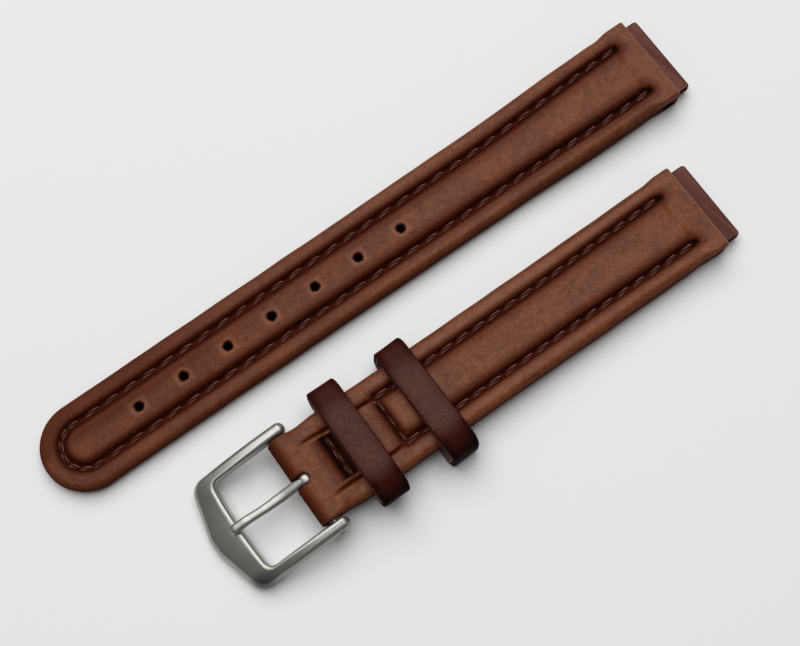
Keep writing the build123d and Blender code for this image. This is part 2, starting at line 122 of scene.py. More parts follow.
# Buckle half's sizes along it, as (x, size) from the fold to the lug end
near_widths = ((pivot_x + 2.0, 6.58), (-62.5, 6.85), (-44.0, 6.76), (-14.0, 6.86))
near_pinch = ((-9.0, 0), (-7.0, -0.07), (-5.2, 0.04))
neck_channels = ((pivot_x + 1.5, 4.1), (-62.0, 3.95), (-57.0, 3.85))
near_channels = (*neck_channels, (cross_seam_x, 3.7), (-30.0, 3.7), (-6.0, lug_channel))
near_crowns = ((cross_seam_x, 3.0), (-30.0, 3.2), (-7.0, 3.9))
neck_crowns = ((pivot_x, 3.5), (pivot_x + 2.2, 3.28), (near_seam_x, 2.98))
neck_beads = ((pivot_x, 3.47), (pivot_x + 2.2, 3.2), (near_seam_x, 2.9))
neck_side_shares = ((pivot_x, 0.84), (pivot_x + 3.2, 0.44))
crease_end = (cross_seam_x, 0.5)
crease_depths = ((pivot_x + 1.6, 0), (pivot_x + 4.6, 0.34), (cross_seam_x - 0.6, 0.34), crease_end)
crease_dips = ((pivot_x, 0.02), (cross_seam_x - 0.4, 0.05), (cross_seam_x, 0.42))
crease_narrows = ((pivot_x + 1.5, 0.3), (pivot_x + 3.0, 0.22), (cross_seam_x - 1.0, 0.24))
crease_spreads = (*crease_narrows, (cross_seam_x, groove_half))

# Stitching
tail_first_stitch = -6.9
tail_stitch_count = 30
tail_stitch_pitch = (tail_first_stitch - tip_x) / tail_stitch_count
tip_stitch_count = 6
near_first_stitch = -8.0
near_last_stitch = cross_seam_x + 1.2
near_stitch_count = 17
near_stitch_pitch = (near_first_stitch - near_last_stitch) / near_stitch_count
cross_stitch_count = 3
cross_stitch_pitch = 2.4
stitch_length = 2.25
stitch_lift = 0.25
drawn_least = 0.5
thread_radius = 0.215

# Keepers
keeper_width = 4.4
keeper_half = 9.1
keeper_leather = 0.6
keeper_lining = 0.3
keeper_corner = 1.75
keeper_arch = 0.1
keeper_edge_round = 0.27
backing_edge_round = 0.1
fixed_keeper_x = pivot_x + 8.4
fixed_keeper_z = 0.6
fixed_keeper_height = 4.2
free_keeper_x = pivot_x + 19.0
free_keeper_z = -1.2
free_keeper_height = 5.64
free_keeper_shift = -0.5
free_keeper_turn = math.radians(1.2)

# Buckle, in its own millimetres: zero on the spring bar's axis, x negative towards the front bar
frame_inner = 6.8
arm_width = 1.7
frame_outer = frame_inner + arm_width
arm_back = 1.75
arm_cap = 0.95
arm_hole = 0.42
frame_top = 1.15
frame_bottom = 1.05
frame_corner = 2.3
frame_arch = 0.45
frame_droop = 9.82
window_length = 10.6
window_bow = 0.35
window_corner = 1.2
bar_side_depth = 2.5
bar_centre_depth = 4.45
bar_nose_x = -window_length - bar_centre_depth
bar_nose_half = 1.1
tube_radius = 0.75
tongue_half = 0.72
tongue_half_height = 0.48
tongue_rest = 2.02
tongue_tip_x = -window_length - 0.4
tongue_tip_length = 0.66
tongue_tip_drop = 0.12
tongue_root_z = tube_radius + 0.06
tongue_root_half = 0.56
tongue_widths = (
    (tongue_tip_x, 0.68), (tongue_tip_x + 3.5, 0.62), (-3.0, tongue_half), (-1.6, 0.7), (0, tongue_root_half)
)
eye_radius = tube_radius + 0.31
eye_half_wall = 0.25
coil_half = 4.08
coil_radius = 0.33
coil_wire = 0.1
coil_turns = 9


def joint(name):
    """The frame's joint of this name."""
    return next(j for j in frame["joints"] if j["name"] == name)


class Half:
    """Where one half lies: its own millimetres become the frame's metres."""

    def __init__(self, word, body, tilt):
        bore = next(m for m in frame["record"]["mounts"] if m["name"] == word + "_lug_bore")
        own_bar = Vector((bar_x, 0, loop_outer)) * mm
        turn = Matrix.Rotation(tilt, 4, "Y")
        self.word = word
        self.body = body
        self.place = Matrix.Translation(bore["pos_m"]) @ turn @ Matrix.Translation(-own_bar)

    def lay(self, shape):
        """Moves a shape made in the half's own millimetres to its place."""
        bmesh.ops.transform(shape, matrix=self.place @ Matrix.Scale(mm, 4), verts=shape.verts)


slide = joint("free_keeper_slide")["axis"]
tail = Half("tail", "tail_half", 0)
near = Half("buckle_side", "buckle_half", math.atan2(-slide[2], slide[0]))


# Small helpers for shapes

def ease(x, keys):
    """Value at x, eased between (x, value) keys in rising order of x."""
    if x <= keys[0][0]:
        return keys[0][1]
    for (x0, v0), (x1, v1) in zip(keys, keys[1:]):
        if x <= x1:
            share = (x - x0) / (x1 - x0)
            return v0 + (v1 - v0) * share * share * (3 - 2 * share)
    return keys[-1][1]


def bump_at(x, middle, reach):
    """1 at the middle, easing to 0 at the reach on both sides."""
    share = min(abs(x - middle) / reach, 1)
    return (1 + math.cos(math.pi * share)) / 2


def curve(start, pull, push, end, count):
    """Points on a cubic curve, with the first point left out."""
    knots = [Vector((0, p[0], p[1])) for p in (start, pull, push, end)]
    return [(p.y, p.z) for p in interpolate_bezier(*knots, count + 1)[1:]]


def lofted(rows):
    """Quad mesh through rows of points that all have the same count."""
    shape = bmesh.new()
    across = len(rows[0]) - 1
    along = len(rows) - 1
    bmesh.ops.create_grid(shape, x_segments=along, y_segments=across, size=1)
    grid = {}
    for vert in shape.verts:
        i = round((vert.co.x + 1) / 2 * along)
        j = round((vert.co.y + 1) / 2 * across)
        grid[i, j] = vert
    for (i, j), vert in grid.items():
        vert.co = Vector(rows[i][j])
    return shape


def close_up(shape):
    """Merges doubled points and turns all faces outwards."""
    bmesh.ops.remove_doubles(shape, verts=shape.verts, dist=weld_gap)
    bmesh.ops.dissolve_degenerate(shape, edges=shape.edges, dist=weld_gap)
    bmesh.ops.recalc_face_normals(shape, faces=shape.faces)


def mirrored(shape):
    """Adds the other side, across the centre line."""
    parts = shape.verts[:] + shape.edges[:] + shape.faces[:]
    bmesh.ops.mirror(shape, geom=parts, axis="Y", merge_dist=weld_gap)


def marks(shape, name):
    """Number kept on each point, for the leather's colouring."""
    return shape.verts.layers.float.get(name) or shape.verts.layers.float.new(name)


def open_edges(verts):
    """The open edges at these points, each once."""
    return list(dict.fromkeys(e for v in verts for e in v.link_edges if e.is_boundary))


def pulled_out(shape, edges):
    """Extrudes open edges and gives back the new points and the new open edges."""
    made = bmesh.ops.extrude_edge_only(shape, edges=edges)["geom"]
    verts = [g for g in made if isinstance(g, bmesh.types.BMVert)]
    return verts, [g for g in made if isinstance(g, bmesh.types.BMEdge) and g.is_boundary]


def roughened(shape, height, size, seed):
    """Slightly uneven surface, as hand-laid leather has."""
    shape.normal_update()
    for vert in shape.verts:
        spot = vert.co / size + Vector((seed, seed, seed))
        vert.co += vert.normal * noise.noise(spot) * height


def piece(name, shape, finish, body, slot, *nodes):
    """Object from a finished shape, on a body if one is named, standing for the named nodes."""
    mesh = bpy.data.meshes.new(name)
    shape.to_mesh(mesh)
    shape.free()
    mesh.shade_smooth()
    made = bpy.data.objects.new(name, mesh)
    bpy.context.scene.collection.objects.link(made)
    mesh.materials.append(finish)
    if body:
        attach(made, body)
    if nodes:
        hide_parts(*nodes)
    return made


# Materials

class Wire:
    """Output of a material node. Sums written with it become nodes."""

    def __init__(self, finish, socket):
        self.finish = finish
        self.socket = socket

    def sum(self, operation, *values):
        """A Math node with these values."""
        return self.finish.add("ShaderNodeMath", {"operation": operation}, dict(enumerate(values)))

    def __add__(self, other):
        return self.sum("ADD", self, other)

    def __sub__(self, other):
        return self.sum("SUBTRACT", self, other)

    def __rsub__(self, other):
        return self.sum("SUBTRACT", other, self)

    def __mul__(self, other):
        return self.sum("MULTIPLY", self, other)

    def __pow__(self, other):
        return self.sum("POWER", self, other)

    __radd__ = __add__
    __rmul__ = __mul__

    def held(self):
        """The value kept from 0 to 1."""
        return self.sum("MAXIMUM", self.sum("MINIMUM", self, 1), 0)


class Finish:
    """Material whose nodes are added through one method."""

    def __init__(self, name, **shader):
        self.material = bpy.data.materials.new(name)
        self.material.use_nodes = True
        self.nodes = self.material.node_tree.nodes
        self.links = self.material.node_tree.links
        self.shader = self.nodes["Principled BSDF"]
        for key, value in shader.items():
            self.shader.inputs[key.replace("_", " ")].default_value = value
        self.spot = self.add("ShaderNodeTexCoord", output="Object")

    def add(self, kind, settings=None, inputs=None, output=0):
        """Node of one type: its settings first, then its inputs, and the output asked for."""
        node = self.nodes.new(kind)
        for key, value in (settings or {}).items():
            if key == "stops":
                self.set_stops(node.color_ramp, value)
            else:
                setattr(node, key, value)
        for key, value in (inputs or {}).items():
            if isinstance(value, Wire):
                self.links.new(value.socket, node.inputs[key])
            else:
                node.inputs[key].default_value = value
        return Wire(self, node.outputs[output])

    def set_stops(self, ramp, stops):
        """Gives a ramp its (place, level) stops."""
        while len(ramp.elements) < len(stops):
            ramp.elements.new(0.5)
        for element, (place, value) in zip(ramp.elements, stops):
            element.position = place
            element.color = (value, value, value, 1)

    def noise(self, size, detail=2, roughness=0.5, distortion=0):
        """Noise with patches about this many millimetres across, from 0 to 1."""
        inputs = {
            "Vector": self.spot,
            "Scale": 1 / (size * mm),
            "Detail": detail,
            "Roughness": roughness,
            "Distortion": distortion,
        }
        return self.add("ShaderNodeTexNoise", None, inputs, "Fac")

    def cells(self, size, feature="F1"):
        """Distance to the nearest of scattered points this many millimetres apart."""
        inputs = {"Vector": self.spot, "Scale": 1 / (size * mm)}
        return self.add("ShaderNodeTexVoronoi", {"feature": feature}, inputs, "Distance")

    def shaped(self, value, *stops):
        """The value through a ramp of (place, level) stops."""
        return self.add("ShaderNodeValToRGB", {"stops": stops}, {0: value})

    def mark(self, name):
        """Number kept on the mesh under this name."""
        settings = {"attribute_name": name, "attribute_type": "GEOMETRY"}
        return self.add("ShaderNodeAttribute", settings, output="Fac")

    def mixed(self, share, first, second, blend="MIX"):
        """Colour between two colours."""
        settings = {"data_type": "RGBA", "blend_type": blend}
        colours = [c if isinstance(c, Wire) else (*c, 1) for c in (first, second)]
        return self.add("ShaderNodeMix", settings, {0: share, 6: colours[0], 7: colours[1]}, 2)

    def bumped(self, height, distance, strength=1, under=None):
        """Surface relief of this depth in millimetres."""
        inputs = {"Height": height, "Distance": distance * mm, "Strength": strength}
        if under:
            inputs["Normal"] = under
        return self.add("ShaderNodeBump", None, inputs)

    def done(self, colour, roughness=None, normal=None, metallic=None, coat=None):
        """The finished material, its shader fed with these values or links."""
        ends = {"Base Color": colour, "Roughness": roughness, "Normal": normal, "Coat Weight": coat}
        for key, value in ends.items():
            if isinstance(value, Wire):
                self.links.new(value.socket, self.shader.inputs[key])
            elif value is not None:
                self.shader.inputs[key].default_value = (*value, 1) if key == "Base Color" else value
        if metallic is not None:
            self.shader.inputs["Metallic"].default_value = metallic
        return self.material


def leather(name, pale, middle, deep, dark, roughness=0.46, grain=1.0, wax=0.28):
    """Smooth leather: mottled, with fine pores; redder and darker near seams and low on edges, partly its own tone
    and partly painted shade, with painted highlights on ridges and lips and near-black painted shade in holes.
    """
    skin = Finish(name, Specular_IOR_Level=0.06, Coat_Roughness=0.28)
    patches = skin.noise(5.5, 3, 0.55, 0.4)
    clouds = skin.noise(0.9, 3, 0.65)
    specks = skin.noise(0.24, 2, 0.7)
    pores = skin.cells(0.16)
    fibres = skin.noise(0.09, 3, 0.6)
    tone = (patches * 0.6 + clouds * 0.6 + specks * 0.9 + fibres * 0.3 - 0.73).held()
    body = skin.mixed(skin.shaped(tone, (0.3, 0), (0.66, 1)), middle, pale)
    # Painted shade: darker, then near black, towards the seams' grooves and the creases, on top of the leather's
    # own darker tone there.
    shade = (skin.mark("seam") * (0.7 + clouds * 0.6)).held()
    # Burnished edges, with painted shade low on the sides.
    burnished_and_shaded = (skin.mark("edge") * (0.5 + clouds * 0.8)).held()
    toned = skin.mixed(skin.shaped(shade, (0, 0), (0.62, 1)), body, deep)
    toned = skin.mixed(skin.shaped(shade, (0.56, 0), (0.86, 1)), toned, dark)
    toned = skin.mixed(skin.shaped(burnished_and_shaded, (0, 0), (0.8, 1)), toned, deep)
    # Lighter where marked: partly wear, partly painted highlight on ridges, lips and the shoulder's top edge.
    rubbed_and_highlit = (skin.mark("worn") * (0.6 + specks * 0.6)).held()
    toned = skin.mixed(rubbed_and_highlit, toned, [c * 1.3 + 0.05 for c in pale])
    # Painted shade: near black inside the holes, the tongue's slot and the tunnel's mouths.
    rim = skin.mark("hole").held()
    colour = skin.mixed(rim, toned, [c * 0.3 for c in dark])
    relief = pores * -0.5 + fibres * 0.5 + specks * 0.5 + clouds * 0.5
    normal = skin.bumped(relief, 0.034 * grain)
    creases = skin.cells(0.75, "DISTANCE_TO_EDGE")
    lines = skin.shaped(creases, (0.0, 0), (0.12, 1))
    normal = skin.bumped(lines * 0.6 + patches * 0.8, 0.012 * grain, 1, normal)
    gloss = (roughness - 0.1) + clouds * 0.16 + pores * 0.08
    matt = (skin.mark("seam") * 1.7 + skin.mark("edge") * 1.2 + rim).held()
    polish = (1 - matt) * (clouds * 0.7 + specks * 1.2 - 0.3) * wax
    return skin.done(colour, (gloss + matt * 0.4).held(), normal, coat=polish.held())


def suede(name, pale, dark):
    """Lining leather with a short nap."""
    skin = Finish(name)
    nap = skin.noise(0.12, 4, 0.7)
    patches = skin.noise(2.6, 3, 0.6)
    colour = skin.mixed((nap * 0.6 + patches * 0.5 - 0.05).held(), dark, pale)
    return skin.done(colour, 0.82, skin.bumped(nap, 0.05))


def thread_finish(name, pale, dark):
    """Waxed sewing thread, with the lay of its plies: painted highlight on the plies' crests and painted shade
    between them.
    """
    yarn = Finish(name, Specular_IOR_Level=0.05)
    fibres = yarn.noise(0.07, 3, 0.6)
    patches = yarn.noise(0.9, 2)
    ply = yarn.mark("ply") ** 2
    # Painted highlight on the plies' crests, painted shade between them.
    colour = yarn.mixed((ply * (fibres * 0.7 + patches * 0.8)).held(), dark, pale)
    return yarn.done(colour, 0.75 - ply * 0.3, yarn.bumped(fibres, 0.03))


def blasted_steel(name, pale, dark):
    """Bead-blasted steel with a fine satin surface and faint handling marks, with painted shade in its holes and a
    painted dark reflection on one outer corner.
    """
    steel = Finish(name)
    beads = steel.noise(0.05, 3, 0.7)
    pits = steel.cells(0.11)
    clouds = steel.noise(2.2, 3, 0.6)
    scuffs = steel.shaped(steel.noise(0.6, 5, 0.75, 1.5), (0.5, 0), (0.68, 1))
    # Painted shade in the holes and a painted dark reflection on the marked corner.
    painted_shade_and_reflection = (steel.mark("hole") * 0.9 + steel.mark("tarnish")).held()
    colour = steel.mixed((clouds * 0.7 + beads * 0.3).held(), dark, pale)
    colour = steel.mixed(painted_shade_and_reflection, colour, [c * 0.1 for c in dark])
    gloss = 0.33 + clouds * 0.08 + beads * 0.06 - scuffs * 0.05
    normal = steel.bumped(beads + pits * 0.5, 0.006)
    return steel.done(colour, gloss, normal, 1)


def turned_steel(name, colour):
    """Plain turned steel of the spring bar."""
    steel = Finish(name)
    rings = steel.noise(0.12, 2)
    tint = steel.mixed(rings, colour, [c * 0.8 for c in colour])
    return steel.done(tint, 0.28 + rings * 0.1, steel.bumped(rings, 0.004), 1)


def felt(name, pale, dark):
    """Pressed filling or woven tape, seen only in the holes' walls."""
    stuff = Finish(name)
    fluff = stuff.noise(0.2, 4, 0.7)
    colour = stuff.mixed(fluff, dark, pale)
    return stuff.done(colour, 0.9, stuff.bumped(fluff, 0.05))


def make_finishes():
    """All materials, by plain names."""
    return {
        "upper": leather(
            "upper_leather", (0.2, 0.059, 0.0205), (0.112, 0.028, 0.0095), (0.066, 0.0108, 0.0035),
            (0.006, 0.001, 0.0006)
        ),
        "keeper": leather(
            "keeper_leather", (0.085, 0.0185, 0.009), (0.05, 0.0105, 0.005), (0.03, 0.0035, 0.002),
            (0.006, 0.001, 0.001), 0.42, 1.0, 0.24
        ),
        "loop": leather(
            "loop_leather", (0.165, 0.051, 0.037), (0.128, 0.038, 0.027), (0.012, 0.004, 0.003),
            (0.008, 0.003, 0.002), 0.52, 1.3, 0.25
        ),
        "lining": suede("lining_leather", (0.2, 0.13, 0.105), (0.11, 0.062, 0.05)),
        "thread": thread_finish("waxed_thread", (0.46, 0.17, 0.125), (0.022, 0.004, 0.003)),
        "steel": blasted_steel("blasted_steel", (0.42, 0.41, 0.385), (0.32, 0.31, 0.29)),
        "bar": turned_steel("turned_steel", (0.5, 0.49, 0.47)),
        "felt": felt("felt_filling", (0.3, 0.24, 0.18), (0.2, 0.15, 0.11)),
        "tape": felt("woven_tape", (0.5, 0.46, 0.4), (0.38, 0.34, 0.3)),
    }


# Padded skins

# Sizes of a padded half's skin at one place along it
Cut = namedtuple("Cut", "half_width crown bead channel dip groove side_share spread")

# Points on each stretch of the skin's outline, from the centre line to the foot
crown_steps = 13
skin_steps = (crown_steps, 5, 5, 5, 6, 4, 4)


def skin_outline(cut):
    """Right half of the skin: crown, sewn groove, edge bead, side and turned foot."""
    lip_z = cut.crown - cut.dip
    inner = Vector((cut.channel - cut.spread, lip_z))
    bottom = Vector((cut.channel, lip_z - cut.groove))
    outer = Vector((cut.channel + cut.spread, lip_z + (cut.bead - lip_z) / 3))
    side = Vector((cut.half_width, foot_z + (cut.bead - foot_z) * cut.side_share))
    crest = Vector((cut.half_width - (cut.bead - side.y) * 0.72, cut.bead))
    foot = Vector((cut.half_width - foot_inset, foot_z))
    under = Vector((cut.half_width - foot_inset - foot_turn, foot_z - foot_turn))
    steep = min(cut.groove / 0.5, 1)
    narrow = cut.spread / groove_half
    fall = Vector((0.3 * narrow, -0.42 * steep))
    rise = Vector((0.3 * narrow, 0.42 * steep))
    flat = Vector((0.26 * narrow, 0))
    outline = [(0, cut.crown)]
    outline += curve((0, cut.crown), (inner.x * 0.5, cut.crown), inner - fall * 1.9, inner, skin_steps[0])
    outline += curve(inner, inner + fall * 0.6, bottom - flat, bottom, skin_steps[1])
    outline += curve(bottom, bottom + flat, outer - rise * 0.6, outer, skin_steps[2])
    outline += curve(outer, outer + rise, crest - flat * 2, crest, skin_steps[3])
    turn = (side - crest) * 0.56
    outline += curve(crest, crest + Vector((turn.x, 0)), side - Vector((0, turn.y)), side, skin_steps[4])
    outline += curve(side, side - Vector((0, 0.5)), foot + Vector((0.06, 0.4)), foot, skin_steps[5])
    down = Vector((0, foot_turn * 0.6))
    inwards = Vector((foot_turn * 0.6, 0))
    outline += curve(foot, foot - down, under + inwards, under, skin_steps[6])
    return outline


def drawn_in(run, pitch):
    """How far the thread draws the groove down: least in the middle of a stitch."""
    return drawn_least + 0.1 * (1 - math.cos(2 * math.pi * run / pitch))


def faded(x, end):
    """What is left at x of the groove and of its drawn-down banks, where they run out at an end."""
    sewn = ease(x, [(end - 1.2, 1), (end + 0.3, 0)])
    drawn = ease(x, [(end - 3.5, 1), (end + 0.9, 0)])
    return sewn, drawn


def last_dimple(x, end):
    """Extra depth under the last stitch before the groove's end."""
    return 0.2 * bump_at(x, end - 0.6, 0.7)


def tail_cut(x, run=0):
    """Sizes of the tail half's skin at x, where run is the way along the seam from its first stitch."""
    sewn, drawn = faded(x, tail_groove_end)
    half_width = ease(x, tail_widths) + ease(x, tail_pinch)
    crown = tip_crown + ease(x, tail_rise) + ease(x, tail_wedge_rise)
    bead = crown - bead_drop - 0.1 * drawn
    channel = ease(x, tail_channels)
    dip = 0.08 + 0.34 * drawn
    groove = drawn_in(run, tail_stitch_pitch) * sewn + last_dimple(x, tail_groove_end)
    return Cut(half_width, crown, bead, channel, dip, groove, ease(x, side_shares), groove_half)


def near_cut(x, run=0):
    """Sizes of the buckle half's skin at x: sewn up to the cross seam, only creased beyond it."""
    sewn, drawn = faded(x, buckle_groove_end)
    half_width = ease(x, near_widths) + ease(x, near_pinch)
    padded = ease(x, [(cross_seam_x - 0.4, 0), (cross_seam_x, 1)])
    neck = ease(x, [(near_seam_x - 0.5, 1), (near_seam_x + 0.2, 0)])
    top = ease(x, near_crowns)
    crown = top * padded + (ease(x, neck_crowns) * neck + recess_z * (1 - neck)) * (1 - padded)
    bead = top - bead_drop - 0.1 * drawn if x > near_seam_x else ease(x, neck_beads)
    channel = ease(x, near_channels)
    side_share = ease(x, neck_side_shares if x < near_seam_x else side_shares)
    if padded == 1:
        dip = 0.1 + 0.32 * drawn
        groove = drawn_in(run, near_stitch_pitch) * sewn + last_dimple(x, buckle_groove_end)
        return Cut(half_width, crown, bead, channel, dip, groove, side_share, groove_half)
    dip = ease(x, crease_dips)
    groove = ease(x, crease_depths)
    return Cut(half_width, crown, bead, channel, dip, groove, side_share, ease(x, crease_spreads))


def level_on(outline, y):
    """Height of the skin at a place between the centre line and the groove's bottom."""
    for (y0, z0), (y1, z1) in zip(outline, outline[1:]):
        if y <= y1:
            return z0 + (z1 - z0) * (y - y0) / max(y1 - y0, 0.001)
    return outline[-1][1]


def pad_end(outline, x, channel):
    """The crown ends in a rounded corner at the cross seam, drawn down as it is along the sides."""
    beyond = x - cross_seam_x
    if beyond > 5:
        return outline
    shaped = []
    for y, z in outline:
        aside = channel - y
        if aside > 0 and beyond > 0:
            if beyond < pad_end_round and aside < pad_end_round:
                corner = math.hypot(pad_end_round - beyond, pad_end_round - aside)
                reach = max(pad_end_round - corner, 0)
            else:
                reach = min(beyond * 1.6, aside)
            z = level_on(outline, channel - reach)
        elif aside > 0:
            taper = ease(aside, [(0.1, 0), (0.7, 1)])
            z -= taper * 0.42 * bump_at(x, cross_seam_x, 0.7)
            z -= taper * ease(aside, [(0.6, 0), (1.2, 1)]) * 0.5 * bump_at(x, near_seam_x, 0.7)
        shaped.append((y, z))
    return shaped


def slot_edge(x, least):
    """Half width of the tongue's slot at x, which ends in half a round."""
    past = max(x - slot_end_x + slot_half, 0) / slot_half
    return slot_half * math.sqrt(max(1 - past * past, least))


def with_slot(outline, x):
    """Moves the points beside the centre line onto the edge of the tongue's slot."""
    own = outline[slot_column][0]
    if x > slot_end_x + 1.6:
        return outline
    if x > slot_end_x:
        goal = ease(x, [(slot_end_x, 0.02), (slot_end_x + 1.6, own)])
    else:
        goal = slot_edge(x, 0.0004)
    last = outline[crown_steps][0]
    moved = []
    for k, (y, z) in enumerate(outline):
        if k <= slot_column:
            moved.append((goal * k / slot_column, z))
        elif k < crown_steps:
            moved.append((goal + (y - own) / (last - own) * (last - goal), z))
        else:
            moved.append((y, z))
    return moved


def inset_outline(outline, inset):
    """Outline moved inwards along its own normals."""
    moved = []
    for k, (y, z) in enumerate(outline):
        before = outline[max(k - 1, 0)]
        after = outline[min(k + 1, len(outline) - 1)]
        along = Vector((after[0] - before[0], after[1] - before[1])).normalized()
        spot = Vector((y, z)) + Vector((along.y, -along.x)) * inset
        moved.append((max(spot.x, 0), spot.y))
    return moved


def end_rows(outline, x):
    """Rows that round over the padded end and close it with a wall."""
    turns = 5
    made = []
    for k in range(1, turns + 1):
        angle = math.pi / 2 * k / turns
        inset = shoulder_round * (1 - math.cos(angle))
        row_x = x + shoulder_round * math.sin(angle)
        made.append([(row_x, *p) for p in inset_outline(outline, inset)])
    base = foot_z - foot_turn
    for share in (0.82, 0.5, 0.02):
        made.append([(row_x, y * share, base + (z - base) * share) for _, y, z in made[turns - 1]])
    return made[::-1]


def mark_skin(shape, seam_distance, cut):
    """Marks what is near a seam, low on the side, worn or catching light, for the leather's colouring: the
    leather's own tone together with painted shade and painted highlight.
    """
    seam = marks(shape, "seam")
    edge = marks(shape, "edge")
    worn = marks(shape, "worn")
    end_x = tail_shoulder_x if cut is tail_cut else shoulder_x
    ridge_highlight, ridge_x = (0.08, tip_x) if cut is tail_cut else (0.26, pivot_x + 2.5)
    seam_shades = ((0.3, 1), (0.88, 0.58), (1.5, 0.3), (2.7, 0))
    tip_shades = ((-80.0, 0.22), (-60.0, 0.14), (-40.0, 0)) if cut is tail_cut else ((0, 0),)
    for vert in shape.verts:
        spot = vert.co
        here = cut(spot.x)
        # Painted shade: darker towards the tail's tip, more so on the crown's upper side.
        shade = ease(spot.x, tip_shades)
        shade += ease(spot.x, ((-90.0, 0.2), (-60.0, 0))) * ease(spot.y, ((0, 0), (1.5, 1)))
        vert[seam] = max(ease(seam_distance(spot), seam_shades), shade)
        # Darker low on the sides: burnished edge together with painted shade.
        vert[edge] = ease((spot.z - foot_z) / (here.bead - foot_z), [(0.46, 1), (1.0, 0)])
        # Painted highlight along the shoulder's top edge, partly wear.
        if spot.x > end_x - shoulder_round and spot.z > here.crown - 0.6:
            vert[worn] = bump_at(spot.x, end_x - 0.13, 0.18)
        # Painted highlight along the crests of the edge beads.
        elif spot.z > foot_z + 1:
            fade = ease(spot.x, [(ridge_x, 0), (ridge_x + 4.0, 1)])
            vert[worn] = ridge_highlight * fade * bump_at(abs(spot.y), here.channel + 1.6, 0.9)


def beside(across, outwards=1.35, inwards=1.0):
    """Distance from a seam, counted longer on the edge bead's side, where the seam's darker tone and painted shade
    reach less far.
    """
    return across * outwards if across > 0 else -across * inwards


def tail_seam_distance(spot):
    """How far a point lies from the tail's seam."""
    if spot.x > tail_groove_end:
        return Vector(((spot.x - tail_groove_end) * 1.1, beside(abs(spot.y) - lug_channel))).length
    if spot.x < tip_x:
        return beside(Vector((spot.x - tip_x, spot.y)).length - tip_channel)
    return beside(abs(spot.y) - tail_cut(spot.x).channel)


def near_seam_distance(spot):
    """How far a point lies from the buckle half's seams and creases."""
    if spot.z < foot_z:
        return 5
    if spot.x > buckle_groove_end:
        across = beside(abs(spot.y) - lug_channel, 1.7, 1.2)
        return Vector(((spot.x - buckle_groove_end) * 1.2, across)).length
    aside = near_cut(spot.x).channel - abs(spot.y)
    away = beside(-aside, 1.7, 1.2)
    if spot.x < cross_seam_x - 0.3:
        away = away * 3.2 + ease(spot.x, [(pivot_x + 1.2, 2.0), (pivot_x + 2.6, 0.7)])
    if aside > -0.2:
        away = min(away, abs(spot.x - cross_seam_x) * 1.7)
    if aside > 0.6:
        away = min(away, max(abs(spot.x - near_seam_x) - 0.3, 0))
    return away


def punched(shape, x, columns, zone, rings, levels, seed):
    """Round hole, its rings given from the rim outwards as (radius, sink, darkness, old place's share); the
    darkness is painted shade, and the fourth ring gets a painted highlight on its raised lip.
    """
    hole = marks(shape, "hole")
    worn = marks(shape, "worn")
    reach = 5
    patch = {}
    for vert in shape.verts:
        i = round((vert.co.x - x) / row_step)
        if abs(i) > reach or not zone[0] < vert.co.z < zone[1] or abs(vert.co.y) > columns[reach] + 0.1:
            continue
        j = min(range(reach + 2), key=lambda k: abs(columns[k] - abs(vert.co.y)))
        patch[i, j if vert.co.y > 0 else -j] = vert
    centre = []
    rim = []
    for (i, j), vert in patch.items():
        ring = max(abs(i), abs(j))
        if ring < 2:
            centre.append(vert)
            continue
        radius, sink, dark, kept = rings[ring - 2]
        angle = math.atan2(j, i)
        waves = math.sin(angle * 3 + seed) + math.sin(angle * 5 + seed * 2.3)
        wrinkle = (waves + math.sin(angle * 8 + seed)) / 3
        radius *= 1 + 0.12 * wrinkle * (ring < 5)
        goal = Vector((math.cos(angle), math.sin(angle))) * radius
        spot = goal.lerp(Vector((vert.co.x - x, vert.co.y)), kept)
        low = sink * (1 + 0.8 * wrinkle * (ring in (3, 4)))
        vert.co = Vector((x + spot.x, spot.y, vert.co.z - low))
        # Painted shade darkening towards the hole, and a painted highlight on the raised lip.
        vert[hole] = dark
        vert[worn] = 0.45 * (ring == 4)
        if ring == 2:
            rim.append(vert)
    bmesh.ops.delete(shape, geom=centre, context="VERTS")
    edges = open_edges(rim)
    for level, share in levels:
        verts, edges = pulled_out(shape, edges)
        for vert in verts:
            # The hole's walls get full painted shade.
            vert.co = Vector((x + (vert.co.x - x) * share, vert.co.y * share, level))
            vert[hole] = 1


def side_mouths(shape, x, z, radius, least_y, depths):
    """Round mouths in both sides of a piece, with a wall of two depths behind the rim, both darkened as painted
    shade.
    """
    hole = marks(shape, "hole")
    reach = radius * 1.13

    def away(spot):
        return math.hypot(spot.x - x, spot.z - z)

    def snapped(vert, goal, dark):
        out = Vector((vert.co.x - x, vert.co.z - z)).normalized() * goal
        vert.co.x = x + out.x
        vert.co.z = z + out.y
        # Painted shade inside the mouth.
        vert[hole] = dark

    for face in shape.faces[:]:
        middle = face.calc_center_median()
        if abs(middle.y) > least_y and away(middle) < reach:
            shape.faces.remove(face)
    loose = [v for v in shape.verts if not v.link_faces]
    bmesh.ops.delete(shape, geom=loose, context="VERTS")
    rim = [v for v in shape.verts if v.is_boundary and abs(v.co.y) > least_y and away(v.co) < radius * 1.7]
    for vert in rim:
        snapped(vert, reach, 0.5)
    edges = open_edges(rim)
    for depth in depths:
        verts, edges = pulled_out(shape, edges)
        for vert in verts:
            vert.co.y -= math.copysign(depth, vert.co.y)
            snapped(vert, radius, 1)


def row_places(start, end):
    """Places of the rows from one end to the other, of which one falls on each hole's centre."""
    top = math.floor((start - first_hole_x) / row_step - 0.2)
    low = math.ceil((end - first_hole_x) / row_step + 0.2)
    return [first_hole_x + k * row_step for k in range(top, low - 1, -1)]


def tip_row(outline, angle):
    """The outline swung this far round the tip's centre."""
    return [(tip_x - y * math.sin(angle), y * math.cos(angle), z) for y, z in outline]


